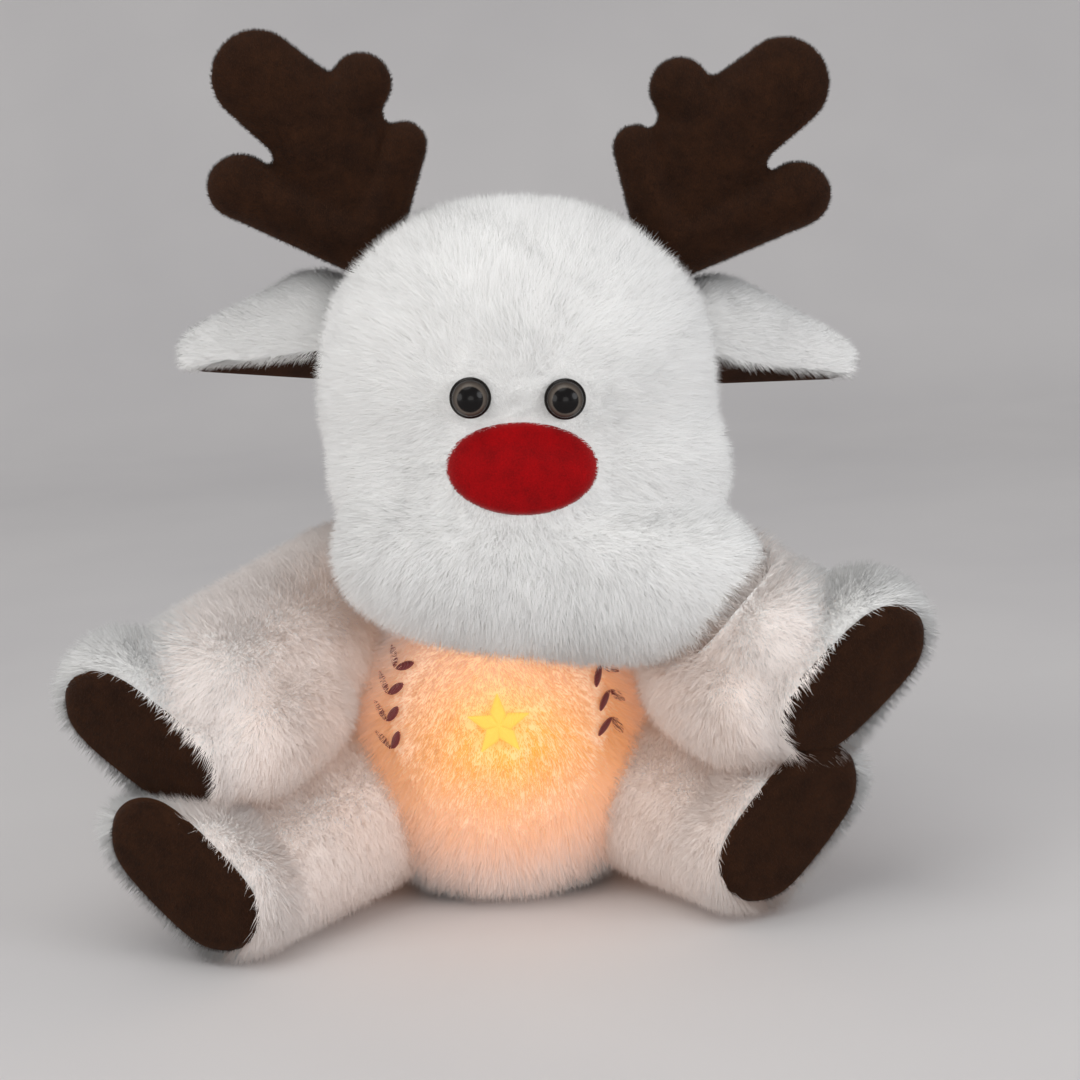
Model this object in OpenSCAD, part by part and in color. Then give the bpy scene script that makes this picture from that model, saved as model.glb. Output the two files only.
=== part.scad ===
// Seated light-up plush reindeer: stuffed cloth body, head, limbs, ears and antlers,
// with a battery lamp behind the belly. Millimetres, +Z up, facing -Y.
// The origin is on the floor, at the centre of the flat seat.
// The solids end at the cloth and its pressed-down pile; the loose pile stands proud of them.

/* [Body] */
// Largest radius of the torso
torso_r = 61; // [56:1:66]
// Height of the widest part of the torso
torso_mid = 60; // [56:1:64]
// Height from there to where the torso would close
torso_rise = 88; // [82:1:94]
// Thickness of the plush cloth with its pressed pile
skin = 4; // [3:0.5:5]

/* [Head] */
// Height of the neck's centre
neck_z = 122; // [120:1:126]
// Sideways lean of the head, to the toy's left
head_tilt = 4.3; // [0:0.1:6]
// Half the width of the head
head_half_w = 75; // [72:1:78]
// Radius of the head, seen from the side
head_r = 69; // [66:1:70]
// Half the width of the cheeks
cheek_half_w = 80; // [76:1:82]
// Radius of the cheeks, seen from the side
cheek_r = 34; // [30:1:35]

/* [Face] */
// Distance between the eyes
eye_gap = 35; // [30:1:42]
// Diameter of an eye
eye_d = 15; // [12:1:18]
// Width of the nose
nose_w = 57; // [50:1:62]
// Height of the nose
nose_h = 34; // [28:1:36]

/* [Antlers and ears] */
// Thickness of a stuffed antler
antler_t = 22; // [18:1:26]
// Length of an ear outside the head
ear_len = 45; // [42:1:50]

/* [Limbs] */
// Radius of the upper arm
arm_r = 33; // [30:1:34]
// How much higher the toy's left paw is held than its right paw
paw_raise = 6; // [0:1:8]
// Radius of the paw
paw_r = 24; // [22:1:25]
// Radius of the thigh
thigh_r = 32; // [29:1:33]
// Radius of the leg at the ankle, which is also the height of its axis there
leg_r = 27; // [25:1:28]
// Radius of the foot
foot_r = 24; // [22:1:25]
// How far the toy's left foot is drawn in towards the belly
foot_drawn_in = 14; // [0:1:16]
// Length of a paw pad and a foot pad
pad_len = 70; // [66:1:74]
// Width of a paw pad and a foot pad
pad_w = 41; // [38:1:43]

/* [Lamp] */
// Diameter of the lamp behind the belly
lamp_d = 36; // [32:1:38]
// Depth of the lamp housing
lamp_depth = 14; // [12:1:15]
// Diameter of the light-passing belly panel
panel_d = 84; // [76:1:88]

/* [Battery box] */
// Width of the battery box
box_w = 40; // [38:1:42]
// Height of the battery box
box_h = 60; // [58:1:62]
// Depth of the battery box
box_t = 17; // [16:1:18]

/* [Hidden] */
$fn = 48;

// Colours
WHITE = "whitesmoke";
FILL = "ivory";
BROWN = [0.20, 0.11, 0.06];
RED = [0.60, 0.02, 0.03];
YELLOW = [0.96, 0.72, 0.16];
PLASTIC = [0.93, 0.93, 0.91];
STEEL = [0.75, 0.76, 0.78];

gap = 0.4;                       // clearance between pieces that only lie against each other
big = 400;                       // larger than the toy
steps = 6;                       // straight steps in a quarter of a rounded outline
room_steps = 4;                  // the same, in outlines that only clear a space

// The sides: the toy's left is at +X
LEFT = 1;
RIGHT = -1;

// Joints
NECK = [9, 4, neck_z];
neck_r = 27;
head_turn = 8;                   // the head turns this far each way
shoulder = [57, 13, 110];
hip = [44, -2, 41];
arm_swing = 15;                  // outwards from rest
leg_out = 14;                    // outwards from rest
leg_in = 6;                      // inwards from rest
split_at = [50, 5];              // arms and legs part at a cone round this line
split_z = 57;                    // paws lie above this height and feet below it
split_rise = 17;                 // the cone's height above that
split_r = [80, 10];              // its radius at the bottom and the top

// Limbs, drawn at +X for both sides and mirrored for the toy's right
function wrist(side) = [108, -54, 99 + side * paw_raise / 4];
function paw_mid(side) = [128, -68, 92 + side * paw_raise / 2];
function drawn_in(side) = (side + 1) / 2 * foot_drawn_in * [-0.9, 1, 0.1];
function ankle(side) = [97, -62, leg_r] + 0.7 * drawn_in(side);
function foot_mid(side) = [114, -78, 38] + drawn_in(side);
elbow = [84, -40, 88];           // the stuffing sags between here and the heel
heel = [95, -62, 82];
sag_r = 24;
paw_half = 15;                   // half the distance between the paw's two round ends
foot_half = 16;
// Outward directions of the pads, and the slope of their length towards the floor
paw_face = [0.40, -0.84, -0.36];
foot_face = [0.44, -0.88, -0.16];
pad_slope = 45;
paw_pad_out = 11;                // from the paw's middle to the pad's face
foot_pad_out = 13;
pad_t = 4;

// Head parts, measured from the neck
head_mid = [0, 0, 79];
cheek_mid = [13, -46, 14.5];
cheek_sag = 5;                   // the cheeks hang lower on the toy's left by this angle
brow_mid = [5, -22, 48];         // fills the crease between the head and the cheeks
brow_half_w = 75;
brow_r = 45;
snout_mid = [0, -46, 46];
snout_half_w = 44;
snout_r = 29;
eye_z = 81;
nose_at = [2, -73, 55];
nose_t = 5;
antler_root = [58, 2, 126];
antler_ball = 13;
ear_root = [79, 4, 99];
ear_root_r = 22;
ear_tip_r = 9;
ear_droop = 13;                  // slope of an ear below level
ear_tip_over = 60;               // an ear's cloth side looks forwards and up by this angle
ear_flat = 0.42;                 // thickness of an ear over its width

// Antler outline: [outwards, up, radius] of the base, the palm and the tips of the lobes
antler_base = [2, 6, 12];
antler_palm = [17, 49, 23.5];
UPPER_LOBES = [[44, 71, 17], [3, 69, 11]];
LOWER_LOBES = [[-14, 44, 8], [52, 26, 11]];

// Lamp: its middle, and the front of its board
lamp_at = [0, -44, 76];
wall = 1.6;                      // plastic wall
panel_z = 78;
lead_d = 2.4;
// Route of the lamp's lead through the stuffing, from the lamp to the battery box
LEAD = [[0, -31, 76], [0, -24, 76], [1, -16, 75], [3, -7, 73], [3, 2, 71], [1, 10, 70],
        [0, 18, 69], [0, 27, 69]];

// Battery box: its back plane, its middle height and its cells
flap_w = 54;
flap_lo = 30;
flap_hi = 100;
pocket_y = 47;                   // the flap starts here
box_back = 43;
box_z = 66;
cell_d = 10.5;
cell_len = 44.5;
switch_z = 90;

// ---------- outlines and shared shapes ----------

// Points on a quarter or other part of a circle, from angle a to angle b
function arc(r, up, a, b) =
    [for (i = [0 : steps]) let (t = a + (b - a) * i / steps) [r * cos(t), up + r * sin(t)]];

// A rounded bar along Z with round ends of radius r1 at the origin and r2 at length len
module pill(r1, r2, len) {
    lean = asin((r1 - r2) / len);
    rotate_extrude()
        polygon(concat(arc(r1, 0, -90, lean), arc(r2, len, lean, 90)));
}

// The same bar between two points
module pill_between(p, q, r1, r2) {
    d = q - p;
    translate(p)
        rotate([0, acos(d.z / norm(d)), atan2(d.y, d.x)])
            pill(r1, r2, norm(d));
}

// A blunt cushion shape, round about the X axis
module cushion(half_w, r, blunt, n = 2 * steps) {
    rotate([0, 90, 0])
        rotate_extrude()
            polygon([for (i = [-n : n]) let (t = 90 * i / n)
                [r * pow(cos(t), 2 / blunt), sign(t) * half_w * pow(abs(sin(t)), 2 / blunt)]]);
}

// Puts the children's +Z along direction d, with their X sloping down towards the middle
module facing(at, d, slope) {
    translate(at)
        rotate([0, acos(d.z / norm(d)), atan2(d.y, d.x)])
            rotate([0, 0, slope])
                children();
}

// A flat shape with half-round ends, len long and w wide
module stadium(len, w) {
    square([len - w, w], center = true);
    for (s = [-1, 1])
        translate([s * (len - w) / 2, 0])
            circle(d = w);
}

// The children as drawn on the toy's left, or mirrored to its right
module on_side(side) {
    if (side == LEFT)
        children();
    else
        mirror([1, 0, 0])
            children();
}

// The children in the head's own leaning frame
module in_head() {
    translate(NECK)
        rotate([0, head_tilt, 0])
            children();
}

// ---------- torso ----------

// The pear-shaped torso, smaller by inset all round
module torso_shape(inset) {
    r = torso_r - inset;
    lo = -asin((torso_mid - inset) / (torso_r + 3));
    hi = 82;
    n = 2 * steps;
    rise = torso_rise - inset;
    rotate_extrude()
        polygon(concat(
            [[0, inset]],
            [for (i = [0 : n]) let (t = lo * (1 - i / n))
                [r * pow(cos(t), 0.75), torso_mid + (torso_mid - inset) * sin(t) / -sin(lo)]],
            [for (i = [1 : n]) let (t = hi * i / n) [r * cos(t), torso_mid + rise * sin(t)]],
            [[0, torso_mid + rise * sin(hi)]]));
}

// Space that an arm needs as it swings, or a leg as it spreads
module limb_room(joint, next, r, low, high, side) {
    d = next - joint;
    middle = atan2(d.y, d.x) + (low + high) / 2;
    half = (high - low) / 2 + 1;
    reach = 60;
    on_side(side)
        translate(joint) {
            sphere(r = r + 2 * gap);
            rotate([0, acos(d.z / norm(d)), middle])
                cylinder(r1 = r + gap, r2 = r + 2 * gap + reach * tan(half), h = reach);
        }
}

module cheeks(grow, n = 2 * steps) {
    translate(cheek_mid)
        rotate([0, cheek_sag, 0])
            cushion(cheek_half_w + grow, cheek_r + grow, 2.6, n);
}

// Space that the neck and the head need above the body as the head turns and nods
module head_room(clear) {
    in_head() {
        translate(head_mid)
            cushion(head_half_w + clear + 2, head_r + clear + 2, 2.3, room_steps);
        for (turn = [-head_turn, 0, head_turn])
            rotate([0, 0, turn])
                cheeks(clear + 0.8, room_steps);
    }
}

// Everything that is taken out of the torso
module torso_rooms() {
    translate(NECK)
        sphere(r = neck_r + gap);
    translate([0, 0, neck_z + 8 + big / 2])
        cube(big, center = true);
    head_room(2.5);
    for (side = [LEFT, RIGHT]) {
        limb_room(shoulder, wrist(side), arm_r, 0, arm_swing, side);
        limb_room(hip, ankle(side), thigh_r, -leg_in, leg_out, side);
    }
}

module flap_room(grow) {
    translate([-flap_w / 2 - grow, pocket_y, flap_lo - grow])
        cube([flap_w + 2 * grow, 40, flap_hi - flap_lo + 2 * grow]);
}

module panel_room(grow) {
    translate([0, -torso_r - 5, panel_z])
        rotate([-90, 0, 0])
            cylinder(d = panel_d + 2 * grow, h = torso_r);
}

module pocket_room() {
    translate([-flap_w / 2 - 1, box_back - box_t - wall - gap, flap_lo - 1])
        cube([flap_w + 2, pocket_y - box_back + box_t + wall + gap + 0.01, flap_hi - flap_lo + 2]);
}

module torso_skin() {
    color(WHITE)
        difference() {
            torso_shape(0);
            torso_shape(skin);
            torso_rooms();
            flap_room(0.6);
            pocket_room();
            panel_room(0);
        }
}

module torso_stuffing() {
    color(FILL)
        difference() {
            torso_shape(skin + gap);
            torso_rooms();
            pocket_room();
            flap_room(0.6);
            // the lamp's seat and the channel of its lead
            translate([0, -torso_r, lamp_at.z])
                rotate([-90, 0, 0])
                    cylinder(d = lamp_d + 2, h = torso_r + lamp_at.y + lamp_depth);
            translate([0, lamp_at.y, 72.5])
                rotate([-90, 0, 0])
                    cylinder(r = 8, h = 80);
        }
}

module belly_panel() {
    color(YELLOW, 0.9)
        difference() {
            intersection() {
                torso_shape(0);
                panel_room(-gap);
            }
            torso_shape(skin);
            torso_rooms();
        }
}

// A flat shape laid on the belly as raised thread, centred on the star
module on_belly(proud) {
    difference() {
        intersection() {
            difference() {
                torso_shape(-proud);
                torso_shape(-0.1);
            }
            translate([0, -torso_r / 2, panel_z])
                rotate([90, 0, 0])
                    linear_extrude(torso_r)
                        children();
        }
        head_room(2.5);
    }
}

module belly_star() {
    star_r = 12;
    points = 5;
    color(YELLOW)
        on_belly(1)
            polygon([for (i = [0 : 2 * points - 1])
                let (r = i % 2 == 0 ? star_r : star_r * 0.45, a = 90 + 180 * i / points)
                    [r * cos(a), r * sin(a)]]);
}

// Two sprigs that curve up either side of the star, each with leaves in pairs
module belly_sprigs() {
    sprig_r = 43;
    leaves = 4;
    color(RED)
        on_belly(1)
            for (s = [-1, 1], i = [0 : leaves - 1]) {
                a = -10 + 14 * i;
                translate([s * sprig_r * cos(a), sprig_r * sin(a)])
                    rotate([0, 0, 90 - s * (90 - a)])
                        for (lean = [-1, 1])
                            translate([2.6 * lean, 0])
                                rotate([0, 0, 35 * lean])
                                    square([2.4, 7], center = true);
            }
}

// ---------- lamp behind the belly ----------

// The lamp's frame: +Z out of the belly, from the back of the housing
module in_lamp() {
    translate([0, lamp_at.y + lamp_depth, lamp_at.z])
        rotate([90, 0, 0])
            children();
}

module lamp_housing() {
    board_up = 7;
    post = lamp_d / 2 - 6;
    color(PLASTIC)
        in_lamp()
            difference() {
                union() {
                    difference() {
                        cylinder(d = lamp_d, h = lamp_depth - 4);
                        translate([0, 0, wall])
                            cylinder(d = lamp_d - 2 * wall, h = lamp_depth);
                    }
                    for (a = [0, 120, 240])
                        rotate([0, 0, a])
                            translate([post, 0, 0.5])
                                cylinder(d = 4.5, h = board_up - 0.5);
                }
                for (a = [0, 120, 240])
                    rotate([0, 0, a])
                        translate([post, 0, wall])
                            cylinder(d = 1.6, h = 10);
                translate([0, 0, -1])
                    cylinder(d = lead_d + 0.4, h = 4);
            }
}

module lamp_board() {
    color("darkgreen")
        in_lamp()
            translate([0, 0, 7])
                difference() {
                    cylinder(d = lamp_d - 2 * wall - 0.6, h = wall);
                    for (a = [0, 120, 240])
                        rotate([0, 0, a])
                            translate([lamp_d / 2 - 6, 0, -1])
                                cylinder(d = 2.4, h = 4);
                }
}

module lamp_leds() {
    count = 6;
    color("lightyellow")
        in_lamp()
            for (i = [0 : count - 1])
                rotate([0, 0, 30 + 360 * i / count])
                    translate([6.5, 0, 7 + wall]) {
                        translate([-1.75, -1.4, 0])
                            cube([3.5, 2.8, 1.2]);
                    }
}

module lamp_screws() {
    color(STEEL)
        in_lamp()
            for (a = [0, 120, 240])
                rotate([0, 0, a])
                    translate([lamp_d / 2 - 6, 0, 3.5]) {
                        cylinder(d = 1.5, h = 5.1);
                        translate([0, 0, 3.5 + wall])
                            cylinder(d = 3.4, h = 1.3);
                    }
}

module lamp_diffuser() {
    color("white", 0.6)
        in_lamp()
            translate([0, 0, lamp_depth - 4 + 0.05]) {
                difference() {
                    union() {
                        cylinder(d = lamp_d, h = 2);
                        translate([0, 0, 1.9])
                            cylinder(d1 = lamp_d - 4, d2 = lamp_d - 12, h = 3);
                    }
                    translate([0, 0, -1])
                        cylinder(d1 = lamp_d - 4, d2 = lamp_d - 14, h = 4.6);
                }
            }
}

// A round tube along a list of points, as one closed surface with flat ends
function tube_ring(pts, i, r, sides) =
    let (a = pts[max(i - 1, 0)],
         b = pts[min(i + 1, len(pts) - 1)],
         dir = (b - a) / norm(b - a),
         u = cross(dir, [1, 0, 0]) / norm(cross(dir, [1, 0, 0])),
         v = cross(dir, u))
    [for (k = [0 : sides - 1]) pts[i] + r * (cos(360 * k / sides) * u + sin(360 * k / sides) * v)];

module tube(pts, d) {
    sides = 8;
    n = len(pts);
    points = [for (i = [0 : n - 1]) each tube_ring(pts, i, d / 2, sides)];
    sleeves = [for (i = [0 : n - 2], k = [0 : sides - 1])
        let (a = i * sides + k, b = i * sides + (k + 1) % sides)
            [a, b, b + sides, a + sides]];
    ends = [[for (k = [sides - 1 : -1 : 0]) k], [for (k = [0 : sides - 1]) (n - 1) * sides + k]];
    polyhedron(points, concat(sleeves, ends));
}

module lamp_lead() {
    color([0.15, 0.15, 0.16])
        tube(LEAD, lead_d);
}

// ---------- battery box in its pouch ----------

module box_block(grow, deep) {
    translate([-box_w / 2 - grow, box_back - box_t - deep, box_z - box_h / 2 - grow])
        cube([box_w + 2 * grow, box_t + deep, box_h + 2 * grow]);
}

// A cloth pouch with a flat facing behind the flap
module battery_pouch() {
    color("gainsboro")
        difference() {
            union() {
                box_block(gap + 1, gap + 1);
                translate([-flap_w / 2, box_back - 1, flap_lo])
                    cube([flap_w, 1, flap_hi - flap_lo]);
            }
            translate([0, 0.01, 0])
                box_block(gap, gap);
            translate([0, 0, LEAD[len(LEAD) - 1].z])
                rotate([-90, 0, 0])
                    cylinder(d = lead_d + 1, h = box_back);
        }
}

// Three cells stand side by side across the box
module in_each_cell() {
    for (i = [-1 : 1])
        translate([i * (cell_d + 0.8), box_back - box_t / 2 - 0.3, box_z - cell_len / 2 - 4])
            children();
}

module battery_case() {
    lid_t = 2;
    color(PLASTIC)
        difference() {
            box_block(0, 0);
            // the cells' tray
            translate([-box_w / 2 + wall, box_back - box_t + wall, box_z - 26 - 4])
                cube([box_w - 2 * wall, box_t, 52]);
            // the seat of the lid
            translate([-box_w / 2 + 1, box_back - lid_t, box_z - box_h / 2 + 1])
                cube([box_w - 2, box_t, box_h - 2]);
            // the switch's room and the screw's pilot hole
            translate([-8, box_back - 8, switch_z - 2.9])
                cube([13, box_t, 5.8]);
            translate([14, box_back - 10, switch_z])
                rotate([-90, 0, 0])
                    cylinder(d = 2, h = box_t);
            // the lead's way in
            translate([0, box_back - box_t - 1, LEAD[len(LEAD) - 1].z])
                rotate([-90, 0, 0])
                    cylinder(d = lead_d + 0.4, h = 4);
        }
}

module battery_lid() {
    color(PLASTIC)
        difference() {
            translate([-box_w / 2 + 1.2, box_back - 1.95, box_z - box_h / 2 + 1.2])
                cube([box_w - 2.4, 1.9, box_h - 2.4]);
            // the switch's slot and the screw's hole
            translate([-5.5, box_back - 5, switch_z - 2])
                cube([8, 10, 4]);
            translate([14, box_back - 5, switch_z])
                rotate([-90, 0, 0])
                    cylinder(d = 2.8, h = 10);
        }
}

module battery_lid_screw() {
    color(STEEL)
        translate([14, box_back, switch_z])
            rotate([90, 0, 0])
                difference() {
                    union() {
                        cylinder(d = 1.9, h = 9);
                        translate([0, 0, -1.2])
                            cylinder(d = 5, h = 1.2);
                    }
                    for (a = [0, 90])
                        rotate([0, 0, a])
                            translate([-1.5, -0.3, -2])
                                cube([3, 0.6, 1.5]);
                }
}

module battery_cells() {
    color("darkolivegreen")
        in_each_cell() {
            cylinder(d = cell_d, h = cell_len - 1);
            translate([0, 0, cell_len - 1.01])
                cylinder(d = 3.8, h = 1);
        }
}

// Cone springs under the cells and plates above them
module battery_contacts() {
    turns = 3;
    color(STEEL)
        in_each_cell() {
            for (i = [0 : turns - 1])
                translate([0, 0, -0.7 - 0.9 * i])
                    rotate_extrude()
                        translate([2 + 0.5 * i, 0])
                            circle(d = 0.9);
            translate([-4, -4, cell_len + 0.1])
                cube([8, 8, 0.6]);
        }
}

module switch_body() {
    color([0.12, 0.12, 0.13])
        difference() {
            translate([-7.5, box_back - 7.5, switch_z - 2.7])
                cube([12, 5.3, 5.4]);
            translate([-5.5, box_back - 4.5, switch_z - 1.9])
                cube([8, 5, 3.8]);
        }
}

// The knob slides across the box, and is drawn at the on end
module switch_knob() {
    color([0.05, 0.05, 0.05])
        translate([-1.8, box_back - 4.3, switch_z - 1.6])
            cube([4, 5.8, 3.2]);
}

// ---------- flap over the pouch, and its hook-and-loop tape ----------

module back_flap() {
    color(WHITE)
        intersection() {
            torso_shape(0);
            translate([-flap_w / 2, pocket_y + 0.1, flap_lo])
                cube([flap_w, 40, flap_hi - flap_lo]);
        }
}

module tape(y, t) {
    translate([-18, y, flap_lo + 1])
        cube([36, t, 4.4]);
}

module loop_tape() {
    color("white")
        tape(box_back + 0.05, 1.7);
}

module hook_tape() {
    color("silver")
        tape(box_back + 1.9, pocket_y - box_back - 1.85);
}

// ---------- head ----------

module neck_core() {
    color(FILL)
        translate(NECK)
            sphere(r = neck_r);
}

// The head with its cheeks and snout, smaller by inset all round
module head_shape(inset) {
    translate(head_mid)
        cushion(head_half_w - inset, head_r - inset, 2.3);
    cheeks(-inset);
    translate(brow_mid)
        cushion(brow_half_w - inset, brow_r - inset, 2.3);
    translate(snout_mid)
        cushion(snout_half_w - inset, snout_r - inset, 2.2);
}

module at_each_eye() {
    for (s = [-1, 1])
        translate([s * eye_gap / 2, -head_r + 1.2, eye_z])
            rotate([90, 0, 0])
                children();
}

module nose_outline(grow) {
    scale([(nose_w + grow) / (nose_h + grow), 1])
        circle(d = nose_h + grow);
}

module nose_block(grow, t) {
    translate(nose_at)
        rotate([84, 0, 0])
            translate([0, 0, -t])
                linear_extrude(2 * t)
                    nose_outline(grow);
}

// Everything that is taken out of the head
module head_rooms(clear) {
    antler_room = antler_ball + 3 * gap + clear;
    sphere(r = neck_r + gap);
    nose_block(2 * gap, nose_t);
    for (s = [-1, 1]) {
        translate([s * antler_root.x, antler_root.y, antler_root.z]) {
            sphere(r = antler_room);
            cylinder(r1 = antler_room + 4, r2 = antler_room + 16, h = 25);
        }
        translate([s * ear_root.x, ear_root.y, ear_root.z])
            sphere(r = ear_root_r + 2 * gap + clear);
    }
}

module head_skin() {
    color(WHITE)
        in_head()
            difference() {
                head_shape(0);
                head_shape(skin);
                head_rooms(0);
                at_each_eye() {
                    cylinder(d = eye_d + 2 * gap, h = 12);
                    translate([0, 0, -10])
                        cylinder(d = 5, h = 12);
                }
            }
}

module head_stuffing() {
    color(FILL)
        in_head()
            difference() {
                head_shape(skin + gap);
                head_rooms(gap);
                at_each_eye()
                    translate([0, 0, -20])
                        cylinder(d = eye_d + 2, h = 30);
            }
}

module nose() {
    color(RED)
        in_head()
            translate(nose_at)
                rotate([84, 0, 0])
                    translate([0, 0, -nose_t + gap])
                        linear_extrude(nose_t)
                            nose_outline(0);
}

// One domed eye on its flat rim, on the side s
module eye(s) {
    rim = 0.5;
    rim_t = 1.2;
    dome_r = eye_d / 2 - rim;
    dome = 6;
    r = (dome_r * dome_r + dome * dome) / (2 * dome);
    color([0.1, 0.08, 0.07])
        in_head()
            translate([s * eye_gap / 2, -head_r + 1.2, eye_z])
                rotate([90, 0, 0]) {
                    cylinder(d = eye_d, h = rim_t);
                    intersection() {
                        translate([0, 0, rim_t + dome - r])
                            sphere(r = r);
                        translate([-big / 2, -big / 2, rim_t - 0.2])
                            cube(big);
                    }
                }
}

module left_eye() eye(LEFT);
module right_eye() eye(RIGHT);

module eye_stems() {
    color([0.1, 0.1, 0.1])
        in_head()
            at_each_eye()
                translate([0, 0, -15])
                    cylinder(d = 4.6, h = 14.95);
}

module eye_washers() {
    color("white")
        in_head()
            at_each_eye()
                translate([0, 0, -9])
                    difference() {
                        cylinder(d = 16, h = 1.6);
                        translate([0, 0, -1])
                            cylinder(d = 4.8, h = 4);
                    }
}

// ---------- antlers and ears ----------

module at_antler(side) {
    in_head()
        on_side(side)
            translate(antler_root)
                children();
}

// A lobe that grows from the circle root to the circle tip, each [outwards, up, radius]
module lobe(root, tip) {
    hull()
        for (c = [root, tip])
            translate([c.x, c.y])
                circle(r = c[2], $fn = 32);
}

// The flat outline of a stuffed antler, smaller by inset all round
module antler_outline(inset) {
    offset(delta = -inset) {
        lobe(antler_base, antler_palm);
        for (tip = UPPER_LOBES)
            lobe([antler_palm.x, antler_palm.y, min(antler_palm[2], tip[2] + 4)], tip);
        for (tip = LOWER_LOBES)
            lobe(antler_base, tip);
    }
}

module antler_plate(inset) {
    t = antler_t - 2 * inset;
    translate([0, t / 2, 0])
        rotate([90, 0, 0])
            linear_extrude(t)
                antler_outline(inset);
}

// The cloth is open at the root, where it is sewn to the head
module antler_skin(side) {
    cloth = 2;
    color(BROWN)
        at_antler(side)
            difference() {
                antler_plate(0);
                antler_plate(cloth);
                translate([-big / 2, -big / 2, antler_base.y - antler_base[2] - big + 3])
                    cube(big);
            }
}

module antler_stuffing(side) {
    cloth = 2;
    color(FILL)
        at_antler(side)
            antler_plate(cloth + gap);
}

module left_antler_skin() antler_skin(LEFT);
module left_antler_stuffing() antler_stuffing(LEFT);
module right_antler_skin() antler_skin(RIGHT);
module right_antler_stuffing() antler_stuffing(RIGHT);

// A flattened leaf along X from the ear's root
module ear_leaf() {
    scale([1, 1, ear_flat])
        rotate([0, 90, 0])
            pill(ear_root_r, ear_tip_r, ear_len);
}

module at_ear(side) {
    in_head()
        on_side(side)
            translate(ear_root)
                children();
}

// The leaf is tipped so that its lining looks down and back, and its edge shows below
module ear_piece(side, lining) {
    seam = -2;
    seam_tilt = 36;
    color(lining ? BROWN : WHITE)
        at_ear(side)
            rotate([ear_tip_over, ear_droop, 0])
                intersection() {
                    ear_leaf();
                    rotate([-seam_tilt, 0, 0])
                        translate([-big / 2, -big / 2, lining ? seam - gap / 2 - big : seam])
                            cube(big);
                }
}

module left_ear_outer() ear_piece(LEFT, false);
module left_ear_lining() ear_piece(LEFT, true);
module right_ear_outer() ear_piece(RIGHT, false);
module right_ear_lining() ear_piece(RIGHT, true);

// ---------- arms and legs ----------

// The two round ends of a paw or a foot, along the slope of its pad
function end_at(mid, half, s) =
    mid + s * half * [cos(pad_slope), 0.12, sin(pad_slope)];

module arm_shape(side, inset) {
    mid = paw_mid(side);
    pill_between(shoulder, wrist(side), arm_r - inset, arm_r - 3 - inset);
    pill_between(elbow, heel, sag_r + 2 - inset, sag_r - inset);
    pill_between(end_at(mid, paw_half, -1), end_at(mid, paw_half, 1),
                 paw_r - inset, paw_r - 1 - inset);
}

module leg_shape(side, inset) {
    mid = foot_mid(side);
    pill_between(hip, ankle(side), thigh_r - inset, leg_r - inset);
    pill_between(end_at(mid, foot_half, -1), end_at(mid, foot_half, 1),
                 foot_r - inset, foot_r - 1 - inset);
}

// Half of space beyond a pad's inner face
module beyond_pad(mid, face, out) {
    facing(mid, face, 0)
        translate([-big / 2, -big / 2, out])
            cube(big);
}

// The pad, as a flat shape grown by grow and t thick, on the face of a paw or a foot
module pad_shape(mid, face, out, half, grow, t) {
    long = end_at(mid, half, 1) - end_at(mid, half, -1);
    n = face / norm(face);
    along = long - (long * n) * n;
    tip = acos(n.z);
    heading = atan2(n.y, n.x);
    base = [cos(tip) * cos(heading), cos(tip) * sin(heading), -sin(tip)];
    turn = acos(base * along / norm(along)) * sign(cross(base, along) * n);
    facing(mid, face, turn)
        translate([0, 0, out])
            linear_extrude(t)
                stadium(pad_len + grow, pad_w + grow);
}

// The space of the legs, raised by up; the arms lie above it
module leg_space(up) {
    translate([split_at.x, split_at.y, split_z + up]) {
        translate([-big / 2, -big / 2, -big])
            cube(big);
        translate([0, 0, -0.01])
            cylinder(r1 = split_r[0], r2 = split_r[1], h = split_rise);
    }
}

// Space that an arm leaves for the neck and the head while it swings
module arm_rooms() {
    translate(NECK)
        sphere(r = neck_r + 9);
    head_room(10.5);
}

module arm_skin(side) {
    color(WHITE)
        difference() {
            on_side(side)
                difference() {
                    arm_shape(side, 0);
                    arm_shape(side, skin);
                    leg_space(2.5);
                    beyond_pad(paw_mid(side), paw_face, paw_pad_out);
                }
            arm_rooms();
        }
}

module arm_stuffing(side) {
    color(FILL)
        difference() {
            on_side(side)
                difference() {
                    arm_shape(side, skin + gap);
                    leg_space(2.5);
                    beyond_pad(paw_mid(side), paw_face, paw_pad_out - gap);
                }
            arm_rooms();
        }
}

module paw_pad(side) {
    color(BROWN)
        on_side(side)
            difference() {
                pad_shape(paw_mid(side), paw_face, paw_pad_out + 0.1, paw_half, 0, pad_t);
                leg_space(2.5);
            }
}

module leg_skin(side) {
    color(WHITE)
        on_side(side)
            difference() {
                intersection() {
                    leg_shape(side, 0);
                    leg_space(0);
                }
                leg_shape(side, skin);
                beyond_pad(foot_mid(side), foot_face, foot_pad_out);
            }
}

module leg_stuffing(side) {
    color(FILL)
        on_side(side)
            difference() {
                intersection() {
                    leg_shape(side, skin + gap);
                    leg_space(0);
                }
                beyond_pad(foot_mid(side), foot_face, foot_pad_out - gap);
            }
}

module foot_pad(side) {
    color(BROWN)
        on_side(side)
            intersection() {
                pad_shape(foot_mid(side), foot_face, foot_pad_out + 0.1, foot_half, 0, pad_t);
                leg_space(0);
            }
}

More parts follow.
